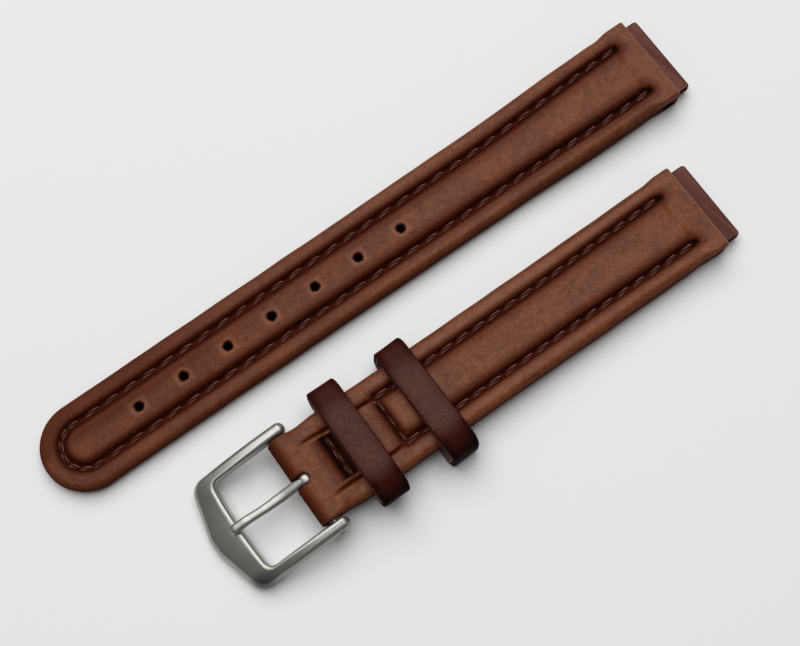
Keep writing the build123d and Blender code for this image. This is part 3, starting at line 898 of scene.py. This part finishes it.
def finished_skin(half, shape, finish):
    """Opens the spring bar's tunnel in both sides of a half's skin and lays the skin in its place."""
    side_mouths(shape, bar_x, loop_outer, lug_bore, 6, (0.12, 0.5))
    bmesh.ops.recalc_face_normals(shape, faces=shape.faces)
    half.lay(shape)
    name = half.word + "_padded_upper"
    made = piece(name, shape, finish["upper"], half.body, "upper_leather", half.word + "_upper_leather")


def tail_skin(finish):
    """The tail half's upper leather: straight stretch, half a turn round the tip, and seven holes."""
    start = tail_shoulder_x - shoulder_round
    outline = skin_outline(tail_cut(start))
    rows = end_rows(outline, start)
    rows.append([(start, *p) for p in outline])
    for x in row_places(start, tip_x):
        rows.append([(x, *p) for p in skin_outline(tail_cut(x, tail_first_stitch - x))])
    turns = 34
    for k in range(turns + 1):
        angle = math.pi / 2 * k / turns
        run = angle / math.pi * tip_stitch_count * tail_stitch_pitch
        rows.append(tip_row(skin_outline(tail_cut(tip_x, run)), angle))
    shape = lofted(rows)
    mirrored(shape)
    close_up(shape)
    roughened(shape, 0.05, 5.0, 3.7)
    mark_skin(shape, tail_seam_distance, tail_cut)
    rings = [(hole_radius, 0.3, 1, 0), (0.68, 0.05, 0.4, 0), (0.88, -0.06, 0, 0.1), (1.3, 0, 0, 1)]
    levels = [(2.0, 1), (1.2, 0.85), (0.5, 0.66), (0.05, 0.6)]
    for k in range(hole_count):
        x = first_hole_x + k * hole_pitch
        columns = [y for y, z in skin_outline(tail_cut(x))]
        punched(shape, x, columns, (1.5, 9), rings, levels, 1.0 + 2.1 * k)
    finished_skin(tail, shape, finish)


def near_rows():
    """Rows of the buckle half's leather: top, round the buckle's bar, and back along the underside."""
    start = shoulder_x - shoulder_round
    rows = end_rows(skin_outline(near_cut(start)), start)
    top_rows = 218
    step = (start - pivot_x) / top_rows
    for k in range(top_rows + 1):
        x = start - k * step
        cut = near_cut(x, near_first_stitch - x)
        outline = pad_end(skin_outline(cut), x, cut.channel)
        rows.append([(x, *p) for p in with_slot(outline, x)])
    last = rows[-1]
    turns = 22
    for k in range(1, turns + 1):
        angle = math.pi * k / turns
        row = []
        for x, y, z in last:
            far = max(z - pivot_z, fold_bore)
            row.append((pivot_x - far * math.sin(angle), y, pivot_z + far * math.cos(angle)))
        rows.append(row)
    under = 50
    for k in range(1, under + 1):
        x = pivot_x + (turn_back_x - pivot_x) * k / under
        width = (near_cut(x).half_width - lining_inset) / near_cut(pivot_x).half_width
        row = []
        for (_, y, z), own in zip(last, with_slot([p[1:] for p in last], x)):
            level = min(pivot_z - max(z - pivot_z, fold_bore), lining_thickness)
            row.append((x, own[0] * (width if y > 5 else 1), level))
        rows.append(row)
    rows.append([(x, y, lining_thickness) for x, y, z in rows[-1]])
    return rows


def cut_slot(shape):
    """Opens the slot for the tongue and gives its edges their thickness."""
    hole = marks(shape, "hole")
    gone = []
    for face in shape.faces:
        middle = face.calc_center_median()
        if middle.x < slot_end_x and abs(middle.y) < slot_edge(middle.x, 0) - 0.02:
            gone.append(face)
    bmesh.ops.delete(shape, geom=gone, context="FACES")

    def beside_slot(edge):
        return all(abs(v.co.y) < slot_half + 0.02 and v.co.x < slot_end_x + 0.1 for v in edge.verts)

    rim = [e for e in shape.edges if e.is_boundary and beside_slot(e)]
    for vert in pulled_out(shape, rim)[0]:
        centre = Vector((max(vert.co.x, pivot_x), vert.co.y, pivot_z))
        vert.co = centre + (vert.co - centre).normalized() * fold_bore
        # Painted shade on the slot's turned edges.
        vert[hole] = 0.6


def near_skin(finish):
    """The buckle half's upper leather, turned round the buckle's bar."""
    shape = lofted(near_rows())
    mirrored(shape)
    close_up(shape)
    cut_slot(shape)
    roughened(shape, 0.05, 4.0, 8.1)
    mark_skin(shape, near_seam_distance, near_cut)
    worn = marks(shape, "worn")
    edge = marks(shape, "edge")
    for vert in shape.verts:
        spot = vert.co
        # Painted highlight on the raised border of the recess between the cross seams.
        if near_seam_x + 0.3 < spot.x < cross_seam_x - 0.3 and spot.z > foot_z:
            border = near_cut(spot.x).channel - 0.42
            vert[worn] = 0.35 * bump_at(abs(spot.y), border, 0.2)
        # Painted shade where the leather turns down round the buckle's bar.
        if spot.x < pivot_x + 1:
            vert[edge] = max(vert[edge], ease(pivot_x - spot.x, [(-0.4, 0), (1.5, 0.8)]))
    finished_skin(near, shape, finish)


# Linings and lug loops

def lining_outline(half_width):
    """Right half of the lining's section: flat underside and a rounded edge."""
    edge = half_width - lining_inset
    outline = [(lining_step * k, 0) for k in range(7)]
    inner = outline[-1][0]
    outline += [(inner + (edge * 0.93 - inner) * k / 7, 0) for k in range(1, 8)]
    outline += curve(outline[-1], (edge * 0.99, 0), (edge, 0.08), (edge, 0.26), 5)
    outline += [(edge, lining_thickness), (edge - 1.2, lining_thickness)]
    return outline


def lining(half, x_end, cut, finish):
    """Lining leather under a half: round the tip and with its holes, or up to the fold's turned-back end."""
    outline = lining_outline(cut(lining_start_x).half_width)
    rows = [[(lining_start_x, y, lining_thickness) for y, z in outline]]
    rows.append([(lining_start_x, *p) for p in outline])
    for x in row_places(lining_start_x, x_end):
        rows.append([(x, *p) for p in lining_outline(cut(x).half_width)])
    if half is tail:
        turns = 20
        outline = lining_outline(tip_half_width)
        rows += [tip_row(outline, math.pi / 2 * k / turns) for k in range(1, turns + 1)]
    else:
        rows.append([(x_end, y, z) for x, y, z in rows[-1]])
        rows.append([(x_end, y, lining_thickness) for x, y, z in rows[-1]])
    shape = lofted(rows)
    mirrored(shape)
    close_up(shape)
    if half is tail:
        rings = [(hole_radius - 0.1, -0.1, 0.8, 0), (0.64, -0.02, 0.4, 0)]
        rings += [(0.95, 0, 0.1, 0.2), (1.3, 0, 0, 1)]
        levels = [(0.3, 1), (lining_thickness + 0.1, 1)]
        columns = [lining_step * n for n in range(7)]
        for k in range(hole_count):
            x = first_hole_x + k * hole_pitch
            punched(shape, x, columns, (-1, 0.1), rings, levels, 2.0 + 1.7 * k)
    half.lay(shape)
    name = half.word + "_lining"
    piece(name, shape, finish["lining"], half.body, "lining_leather", name + "_leather")


def slab(shape, x0, x1, z0, z1, corner):
    """Flat strip of leather as wide as the lug loop, with rounded corners."""
    made = bmesh.ops.create_cube(shape, size=1)["verts"]
    size = Matrix.Diagonal((x1 - x0, loop_half_width * 2, z1 - z0, 1))
    middle = Matrix.Translation(((x0 + x1) / 2, 0, (z0 + z1) / 2))
    bmesh.ops.transform(shape, matrix=middle @ size, verts=made)
    upright = [e for e in shape.edges if e.verts[0] in made and abs((e.verts[0].co - e.verts[1].co).z) > 0.1]
    bmesh.ops.bevel(shape, geom=upright, offset=corner, segments=5, profile=0.5, affect="EDGES", material=-1)


def lug_loop(half, finish):
    """Folded leather round the spring bar's tunnel, with the painted tab in front of it."""
    shape = bmesh.new()
    edge = marks(shape, "edge")
    half_tab = tab_thickness / 2
    slab(shape, tab_start_x, 0, loop_outer - half_tab, loop_outer + half_tab, tab_corner)
    slab(shape, bar_x - strip_length, bar_x, 0, lining_thickness, strip_corner)
    rims = [e for e in shape.edges if e.calc_face_angle(0) > 1.2]
    bmesh.ops.bevel(shape, geom=rims, offset=0.16, segments=4, profile=0.5, affect="EDGES", material=-1)
    long_edges = [e for e in shape.edges if e.calc_length() > 1.5]
    bmesh.ops.subdivide_edges(shape, edges=long_edges, cuts=12, use_grid_fill=True)
    for vert in shape.verts:
        rim = min(-vert.co.x, loop_half_width - abs(vert.co.y))
        vert[edge] = ease(rim, [(0.1, 1), (0.2, 0)]) if vert.co.z > 0.7 else 0
    turn = Matrix.Translation((bar_x, 0, loop_outer)) @ Matrix.Rotation(math.pi / 2, 4, "X")
    for radius in (loop_outer, lug_bore):
        made = bmesh.ops.create_cone(
            shape, segments=48, radius1=radius, radius2=radius, depth=loop_half_width * 2, cap_ends=False
        )["verts"]
        bmesh.ops.transform(shape, matrix=turn, verts=made)
    bore_faces = {f for v in made for f in v.link_faces}
    bmesh.ops.reverse_faces(shape, faces=list(bore_faces))
    rings = [e for e in shape.edges if e.is_boundary]
    for side in (1, -1):
        bmesh.ops.bridge_loops(shape, edges=[e for e in rings if all(v.co.y * side > 0 for v in e.verts)])
    half.lay(shape)
    name = half.word + "_lug_loop"
    made = piece(name + "_and_tab", shape, finish["loop"], half.body, "loop_leather", name)
    made.data.set_sharp_from_angle(angle=math.radians(50))


# Stitching

def stitch(shape, place):
    """One stitch of two laid plies, dipping at both ends."""
    ply = marks(shape, "ply")
    made = bmesh.ops.create_uvsphere(shape, u_segments=12, v_segments=14, radius=1)["verts"]
    for vert in made:
        along = vert.co.z
        angle = math.atan2(vert.co.y, vert.co.x)
        girth = math.hypot(vert.co.x, vert.co.y)
        lay = math.cos(2 * (angle - along * 0.7))
        full = girth ** 0.4 * thread_radius * (1 + 0.3 * lay)
        # Ply crests, which get a painted highlight in the thread's finish.
        vert[ply] = (1 + lay) / 2
        x = along * stitch_length / 2
        sag = -0.4 * abs(along) ** 3
        vert.co = Vector((x, math.cos(angle) * full, math.sin(angle) * full + sag))
    bmesh.ops.transform(shape, matrix=place, verts=made)


def stitch_place(x, y, z, heading, wander):
    """Where a stitch lies, turned along the seam and a little across it."""
    slant = math.radians(5 + 7 * noise.noise(Vector((wander, 0.5, 0))))
    spot = Vector((x, y, z + 0.03 * noise.noise(Vector((wander, 4.5, 0)))))
    return Matrix.Translation(spot) @ Matrix.Rotation(heading + slant, 4, "Z")


def stitch_level(cut):
    """Height at which the stitches lie in the groove."""
    return cut.crown - cut.dip - min(cut.groove, drawn_least) + stitch_lift


def side_seams(shape, cut, first, pitch, count):
    """Stitches along both sides of a half, from its lug end."""
    for side in (1, -1):
        for k in range(count):
            x = first - pitch * k
            here = cut(x)
            stitch(shape, stitch_place(x, here.channel * side, stitch_level(here), 0, k + side * 40))


def tail_stitches(finish):
    """Stitches along both sides of the tail half and round its tip."""
    shape = bmesh.new()
    side_seams(shape, tail_cut, tail_first_stitch, tail_stitch_pitch, tail_stitch_count)
    level = stitch_level(tail_cut(tip_x))
    short = Matrix.Scale(0.72, 4, (1, 0, 0))
    for k in range(tip_stitch_count + 1):
        angle = math.pi * k / tip_stitch_count
        spot = (tip_x - tip_channel * math.sin(angle), tip_channel * math.cos(angle), level)
        stitch(shape, stitch_place(*spot, angle, k + 90) @ short)
    tail.lay(shape)
    piece("tail_stitching", shape, finish["thread"], tail.body, "thread")


def near_stitches(finish):
    """Stitches along both sides of the buckle half and its two cross seams."""
    shape = bmesh.new()
    side_seams(shape, near_cut, near_first_stitch, near_stitch_pitch, near_stitch_count + 1)
    for x, z in ((cross_seam_x, 2.3), (near_seam_x, 2.42)):
        for k in range(cross_stitch_count):
            y = (k - (cross_stitch_count - 1) / 2) * cross_stitch_pitch
            stitch(shape, stitch_place(x, y, z, math.pi / 2, k + x))
    near.lay(shape)
    piece("buckle_side_stitching", shape, finish["thread"], near.body, "thread")


# Keepers

def band_path(half_width, z0, z1, corner, arch):
    """Closed way round the strap, as points with their outward directions."""
    middle = (z0 + z1) / 2
    across = half_width - corner
    upright = (z1 - z0) / 2 - corner
    centres = [Vector((y * across, middle + z * upright)) for y, z in ((1, 1), (-1, 1), (-1, -1), (1, -1))]
    path = []
    for n, centre in enumerate(centres):
        for k in range(9):
            angle = math.radians(90 * n + 90 * k / 8)
            out = Vector((math.cos(angle), math.sin(angle)))
            path.append((centre + out * corner, out))
        first = path[-1][0]
        goal = centres[(n + 1) % 4] + out * corner
        steps = 3 if n % 2 else 22
        path += [(first.lerp(goal, k / steps), out) for k in range(1, steps)]
    arched = []
    for spot, out in path:
        lift = arch * (1 - min(abs(spot.x) / half_width, 1) ** 2)
        arched.append((spot + Vector((0, lift if spot.y > middle else 0)), out))
    return arched


def band_section(width, depth0, depth1, soft):
    """Closed section of a leather band as (along, depth) points, its edges rounded."""
    half = width / 2
    firm = soft * 0.5
    corners = [(1, depth0 + soft, 270, soft), (1, depth1 - firm, 0, firm)]
    corners += [(-1, depth1 - firm, 90, firm), (-1, depth0 + soft, 180, soft)]
    points = []
    for along, depth, start, radius in corners:
        for k in range(6):
            angle = math.radians(start + 90 * k / 5)
            spot = (along * (half - radius) + radius * math.cos(angle), depth + radius * math.sin(angle))
            points.append(spot)
    flat = []
    for first, second in zip(points, points[1:] + points[:1]):
        flat.append(first)
        if abs(first[0] - second[0]) > half:
            flat += [(first[0] + (second[0] - first[0]) * k / 8, first[1]) for k in range(1, 8)]
    return flat


def band(x, z0, height, shift, turn, depths, soft):
    """Leather band laid round the strap, moved and turned a little from square."""
    path = band_path(keeper_half, z0, z0 + height, keeper_corner, keeper_arch)
    section = band_section(keeper_width, *depths, soft)
    rows = []
    for spot, out in path + path[:1]:
        row = []
        for along, depth in section + section[:1]:
            point = spot - out * depth
            row.append((x + along * (1 - 0.06 * out.x * out.x), point.x, point.y))
        rows.append(row)
    shape = lofted(rows)
    edge = marks(shape, "edge")
    seam = marks(shape, "seam")
    half = keeper_width / 2
    side_shade = [(keeper_half - 5.5, 0), (keeper_half - 2.0, 0.6), (keeper_half, 0.75)]
    for vert in shape.verts:
        along = abs(vert.co.x - x)
        vert[edge] = ease(along, [(half - 0.2, 0), (half - 0.04, 0.8)])
        # Painted shade: darker towards the keeper's sides, most on the lower side, and a little towards the band's
        # edges.
        vert[seam] = ease(abs(vert.co.y), side_shade) * (1 if vert.co.y < 0 else 0.65)
        vert[seam] += 0.2 * ease(along, [(keeper_width * 0.2, 0), (keeper_width * 0.45, 1)])
    close_up(shape)
    roughened(shape, 0.07, 4.0, x)
    askew = Matrix.Rotation(turn, 4, "Z") @ Matrix.Translation((-x, 0, 0))
    bmesh.ops.transform(shape, matrix=Matrix.Translation((x, shift, 0)) @ askew, verts=shape.verts)
    near.lay(shape)
    return shape


def keepers(finish):
    """Fixed keeper by the buckle and free keeper on the strap, each of leather and lining."""
    wall = keeper_leather + keeper_lining
    fixed = (fixed_keeper_x, fixed_keeper_z, fixed_keeper_height, 0, 0)
    free = (free_keeper_x, free_keeper_z, free_keeper_height, free_keeper_shift, free_keeper_turn)
    for node, body, place in (("fixed_keeper", "buckle_half", fixed), ("free_keeper", "free_keeper", free)):
        shape = band(*place, (0, keeper_leather), keeper_edge_round)
        piece(node + "_leather", shape, finish["keeper"], body, "keeper_leather", node)
        shape = band(*place, (keeper_leather, wall), backing_edge_round)
        piece(node + "_backing", shape, finish["lining"], body, "lining_leather", node + "_lining")


# Steel

def corner_path(points, radii):
    """Points along a bent line whose corners are rounded."""
    path = [Vector(points[0])]
    for before, corner, after, radius in zip(points, points[1:], points[2:], radii):
        into = (Vector(corner) - Vector(before)).normalized()
        away = (Vector(after) - Vector(corner)).normalized()
        turn = into.angle(away)
        first = Vector(corner) - into * radius * math.tan(turn / 2)
        last = Vector(corner) + away * radius * math.tan(turn / 2)
        pull = radius * math.tan(turn / 4) * 4 / 3
        path.append(first)
        path += [Vector(p) for p in curve(first, first + into * pull, last - away * pull, last, 10)]
    path.append(Vector(points[-1]))
    return path


def spaced(path, count):
    """Evenly spaced points along a line of points."""
    ends = [0]
    for first, second in zip(path, path[1:]):
        ends.append(ends[-1] + (second - first).length)
    made = []
    k = 0
    for n in range(count + 1):
        goal = ends[-1] * n / count
        while k < len(path) - 2 and ends[k + 1] < goal:
            k += 1
        share = (goal - ends[k]) / max(ends[k + 1] - ends[k], 0.0001)
        made.append(path[k].lerp(path[k + 1], min(share, 1)))
    return made


def split_at(path, corner):
    """Cuts a line of points in two where it passes nearest to a corner."""
    k = min(range(len(path)), key=lambda n: (path[n] - Vector(corner)).length)
    return path[: k + 1], path[k:]


def frame_section(width, outer_round, drop):
    """Section of the buckle's frame as (from the inner edge, height) points: flat base, crowned top."""
    low = -frame_bottom
    top = frame_top
    inner_round = 0.5
    base_inner = 0.3
    base_outer = 0.35
    start = low + base_inner
    points = [(0, start)]
    points += [(0, start + (top - inner_round - start) * k / 4) for k in range(1, 5)]
    ends = (inner_round * 0.5, top - 0.08), (inner_round, top - 0.03)
    points += curve(points[-1], (0, top - inner_round * 0.4), *ends, 5)
    shelf = max(width - outer_round, inner_round + 0.1)
    fall = drop * 0.6
    ends = (shelf - 0.2, top - fall * 0.85), (shelf, top - fall)
    points += curve(points[-1], (inner_round + 0.12, top), *ends, 6)
    wall_z = top - outer_round * 0.85 - drop
    reach = outer_round * 0.55
    points += curve(points[-1], (shelf + reach, top - drop), (width, wall_z + reach), (width, wall_z), 7)
    points += [(width, wall_z + (low + base_outer - wall_z) * k / 9) for k in range(1, 10)]
    points += curve(points[-1], (width, low + 0.1), (width - 0.1, low), (width - base_outer, low), 3)
    flat = width - base_outer - base_inner
    points += [(width - base_outer - flat * k / 5, low) for k in range(1, 6)]
    points += curve(points[-1], (0.1, low), (0, low + 0.1), (0, start), 3)
    return points


def frame_paths():
    """Inner and outer edge of half the frame in plan, from the arm's end to the middle of the front bar."""
    inner_corner = (-window_length + window_bow, frame_inner)
    outer_corner = (-window_length - bar_side_depth, frame_outer)
    inner = [(arm_back, frame_inner), inner_corner, (-window_length + window_bow * 0.3, frame_inner * 0.55)]
    inner = corner_path(inner + [(-window_length, 0)], [window_corner, 20])
    outer = [(arm_back, frame_outer), outer_corner, (bar_nose_x, bar_nose_half), (bar_nose_x, 0)]
    outer = corner_path(outer, [frame_corner, 2.2])
    return split_at(inner, inner_corner), split_at(outer, outer_corner)


def frame_rows():
    """Rows across half of the frame, from the arm's rounded end to the middle of the front bar."""
    (inner_arm, inner_bar), (outer_arm, outer_bar) = frame_paths()
    pairs = list(zip(spaced(inner_arm, 66), spaced(outer_arm, 66)))
    pairs += list(zip(spaced(inner_bar, 56), spaced(outer_bar, 56)))[1:]
    first = [(arm_back - arm_cap * (1 - math.cos(math.pi / 2 * k / 9))) for k in range(10)]
    pairs = [p for p in pairs if p[0].x < arm_back - arm_cap - 0.05]
    capped = [(Vector((x, frame_inner)), Vector((x, frame_outer))) for x in first]
    back_x = arm_back - (frame_top + frame_bottom) / 2
    middle_x = (bar_nose_x + back_x) / 2
    middle_z = (frame_top - frame_bottom) / 2
    rows = []
    for near_edge, far_edge in capped + pairs:
        width = (far_edge - near_edge).length
        past = max(near_edge.x - arm_back + arm_cap, 0) / arm_cap
        full = math.sqrt(max(1 - past * past, 0))
        broad = ease(width, [(arm_width, 0), (3.4, 1)])
        row = []
        for aside, z in frame_section(width, 0.85 - 0.25 * broad, 0.1 + 0.8 * broad):
            share = 0.5 + (aside / width - 0.5) * full
            spot = near_edge.lerp(far_edge, share)
            rise = max(1 - ((spot.x - middle_x) / (back_x - middle_x)) ** 2, 0)
            row.append((spot.x, spot.y, middle_z + (z - middle_z) * full + frame_arch * rise))
        rows.append(row)
    return rows


def laid_buckle(shape):
    """Moves a shape made in the buckle's own millimetres to its place."""
    lie = Matrix.Rotation(-math.radians(frame_droop), 4, "Y")
    place = Matrix.Translation(joint("frame_swing")["pos_m"]) @ lie @ Matrix.Scale(mm, 4)
    bmesh.ops.transform(shape, matrix=place, verts=shape.verts)


def buckle_frame(finish):
    """Frame of the buckle: two round-topped arms and a broad front bar with a rest for the tongue."""
    shape = lofted(frame_rows())
    mirrored(shape)
    close_up(shape)
    rest_x = -window_length - 0.1
    for vert in shape.verts:
        spot = vert.co
        if spot.z > 0 and abs(spot.y) < 1.2 and spot.x > rest_x - 1.2:
            past = Vector((min(spot.x - rest_x, 0), spot.y)).length
            spot.z -= 0.2 * ease(past, [(0.5, 1), (tongue_half, 0)])
    # Painted dark reflection on the front bar's outer corner on the lower side.
    tarnish = marks(shape, "tarnish")
    for vert in shape.verts:
        corner = Vector((vert.co.x + 12.4, (vert.co.y + 8.2) * 1.3))
        vert[tarnish] = ease(corner.length, [(0.5, 0.75), (3.6, 0)])
    side_mouths(shape, 0, 0, arm_hole, 8, (0.1, 0.9))
    bmesh.ops.recalc_face_normals(shape, faces=shape.faces)
    laid_buckle(shape)
    piece("buckle_frame_steel", shape, finish["steel"], "buckle_frame", "buckle_steel", "buckle_frame")


def round_bar_row(centre, up, half_width, half_height):
    """Closed row of points round a bar, square to its line."""
    row = []
    for k in range(25):
        angle = 2 * math.pi * k / 24
        side = math.copysign(abs(math.cos(angle)) ** 0.8, math.cos(angle)) * half_width
        lift = math.copysign(abs(math.sin(angle)) ** 0.8, math.sin(angle)) * half_height
        row.append((centre.x + up.x * lift, side, centre.y + up.y * lift))
    return row


def buckle_tongue(finish):
    """Tongue: rounded tip on the front bar, a step up to it, and its root rolled over the spring bar."""
    points = [
        (tongue_tip_x, tongue_rest),
        (-window_length * 0.86, tongue_rest),
        (-window_length * 0.6, tongue_root_z + 0.02),
        (-window_length * 0.35, tongue_root_z - 0.28),
        (0, tongue_root_z),
    ]
    path = spaced(corner_path(points, [2.2, 2.6, 9]), 70)
    tip = path[0]
    upwards = Vector((0, 1))
    rows = [round_bar_row(tip - Vector((tongue_tip_length, tongue_tip_drop)), upwards, 0.001, 0.001)]
    for k in range(1, 8):
        angle = math.pi / 2 * k / 7
        full = math.sin(angle)
        spot = tip - Vector((tongue_tip_length * math.cos(angle), tongue_tip_drop * (1 - full)))
        rows.append(round_bar_row(spot, upwards, 0.68 * full, 0.46 * full))
    for before, spot, after in zip(path, path[1:], path[2:]):
        line = (after - before).normalized()
        wide = ease(spot.x, tongue_widths)
        rows.append(round_bar_row(spot, Vector((-line.y, line.x)), wide, tongue_half_height))
    for k in range(11):
        angle = math.radians(58) * k / 10
        full = math.sqrt(max(1 - (k / 10) ** 2, 0.0001))
        reach = tongue_root_z + 0.06 * k / 10
        centre = Vector((math.sin(angle) * reach, math.cos(angle) * reach))
        up = Vector((math.sin(angle), math.cos(angle)))
        rows.append(round_bar_row(centre, up, tongue_root_half * full, 0.5 * full))
    shape = lofted(rows)
    close_up(shape)
    eye = []
    for k in range(41):
        angle = 2 * math.pi * k / 40
        up = Vector((math.sin(angle), math.cos(angle)))
        eye.append(round_bar_row(up * eye_radius, up, tongue_half - 0.04, eye_half_wall))
    ring = lofted(eye)
    close_up(ring)
    joined = bpy.data.meshes.new("eye")
    ring.to_mesh(joined)
    ring.free()
    shape.from_mesh(joined)
    bpy.data.meshes.remove(joined)
    laid_buckle(shape)
    piece("buckle_tongue_steel", shape, finish["steel"], "buckle_tongue", "buckle_steel", "buckle_tongue")


def bar_coil(finish):
    """Coil spring inside the spring bar's tube, in two halves that are pressed together by the pins."""
    pivot = Vector(joint("frame_swing")["pos_m"])
    steps = coil_turns * 10
    for side_word, side in (("left", 1), ("right", -1)):
        rows = []
        for k in range(steps + 1):
            angle = math.pi * k / steps * coil_turns
            out = Vector((math.cos(angle), 0, math.sin(angle)))
            centre = out * coil_radius + Vector((0, side * coil_half * k / steps, 0))
            row = []
            for n in range(9):
                turn = 2 * math.pi * n / 8
                aside = Vector((0, math.sin(turn) * coil_wire, 0))
                row.append(centre + out * math.cos(turn) * coil_wire + aside)
            rows.append(row)
            if k in (0, steps):
                rows.insert(0 if k == 0 else len(rows), [centre] * 9)
        shape = lofted(rows)
        close_up(shape)
        shape.transform(Matrix.Translation(pivot) @ Matrix.Scale(mm, 4))
        name = "spring_bar_coil_" + side_word
        made = piece(name, shape, finish["bar"], None, "bar_steel", "spring_bar_spring")
        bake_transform(made)


def dressed(node, material):
    """Gives a CAD node its material."""
    slots = frame["nodes"][node].data.materials
    slots.clear()
    slots.append(material)


def spring_bar_and_fillings(finish):
    """Finishes for the pieces whose own shape stays: the spring bar and what is inside the leather."""
    for node in ("spring_bar_tube", "spring_bar_pin_left", "spring_bar_pin_right"):
        dressed(node, finish["bar"])
    for half in ("tail", "buckle_side"):
        dressed(half + "_padding", finish["felt"])
        dressed(half + "_lug_wedge", finish["felt"])
        dressed(half + "_reinforcing_tape", finish["tape"])


# Stage

def light(name, aim, away, size, watts, colour):
    """Soft lamp that looks at the middle of the table."""
    lamp = bpy.data.lights.new(name, "AREA")
    lamp.energy = watts
    lamp.shape = "RECTANGLE"
    lamp.size, lamp.size_y = size
    lamp.color = colour
    made = bpy.data.objects.new(name, lamp)
    bpy.context.scene.collection.objects.link(made)
    spot = Vector(aim).normalized() * away
    made.matrix_world = Matrix.Translation(spot) @ spot.to_track_quat("Z", "Y").to_matrix().to_4x4()


def stage():
    """Pale table and soft light from the upper left."""
    shape = bmesh.new()
    bmesh.ops.create_grid(shape, x_segments=1, y_segments=1, size=1.5)
    mesh = bpy.data.meshes.new("table")
    shape.to_mesh(mesh)
    shape.free()
    table = bpy.data.objects.new("table", mesh)
    bpy.context.scene.collection.objects.link(table)
    surface = Finish("pale_table")
    surface.done((0.84, 0.84, 0.835), 0.6)
    mesh.materials.append(surface.material)
    world = bpy.data.worlds.new("room")
    bpy.context.scene.world = world
    world.use_nodes = True
    world.node_tree.nodes["Background"].inputs["Color"].default_value = (1, 1, 1, 1)
    world.node_tree.nodes["Background"].inputs["Strength"].default_value = 0.16
    light("softbox", (0.15, 0.42, 1.0), 1.1, (1.3, 1.3), 14.6, (1, 1, 0.995))


def camera():
    """Camera at the photograph's place, in the frame's metres."""
    place = Vector((-30.95, -46.94, 196.1)) * mm
    aim = Vector((-1.55, 1.765, 0)) * mm
    roll = math.radians(-4.474)
    picture_width = 800
    focal_pixels = 1486.5
    sensor = 36.0
    ahead = (aim - place).normalized()
    right = ahead.cross(Vector((0, 0, 1))).normalized()
    up = right.cross(ahead)
    turned_right = right * math.cos(roll) + up * math.sin(roll)
    turned_up = up * math.cos(roll) - right * math.sin(roll)
    lens = bpy.data.cameras.new("camera")
    lens.sensor_width = sensor
    lens.lens = sensor * focal_pixels / picture_width
    lens.clip_start = 0.01
    lens.clip_end = 10
    made = bpy.data.objects.new("camera", lens)
    bpy.context.scene.collection.objects.link(made)
    turn = Matrix((turned_right, turned_up, -ahead)).transposed().to_4x4()
    made.matrix_world = Matrix.Translation(place) @ turn
    bpy.context.scene.camera = made


bpy.context.scene.view_settings.view_transform = "Standard"
finish = make_finishes()
stage()
camera()
tail_skin(finish)
near_skin(finish)
lining(tail, tip_x, tail_cut, finish)
lining(near, turn_back_x + lining_gap, near_cut, finish)
lug_loop(tail, finish)
lug_loop(near, finish)
tail_stitches(finish)
near_stitches(finish)
keepers(finish)
buckle_frame(finish)
buckle_tongue(finish)
bar_coil(finish)
spring_bar_and_fillings(finish)
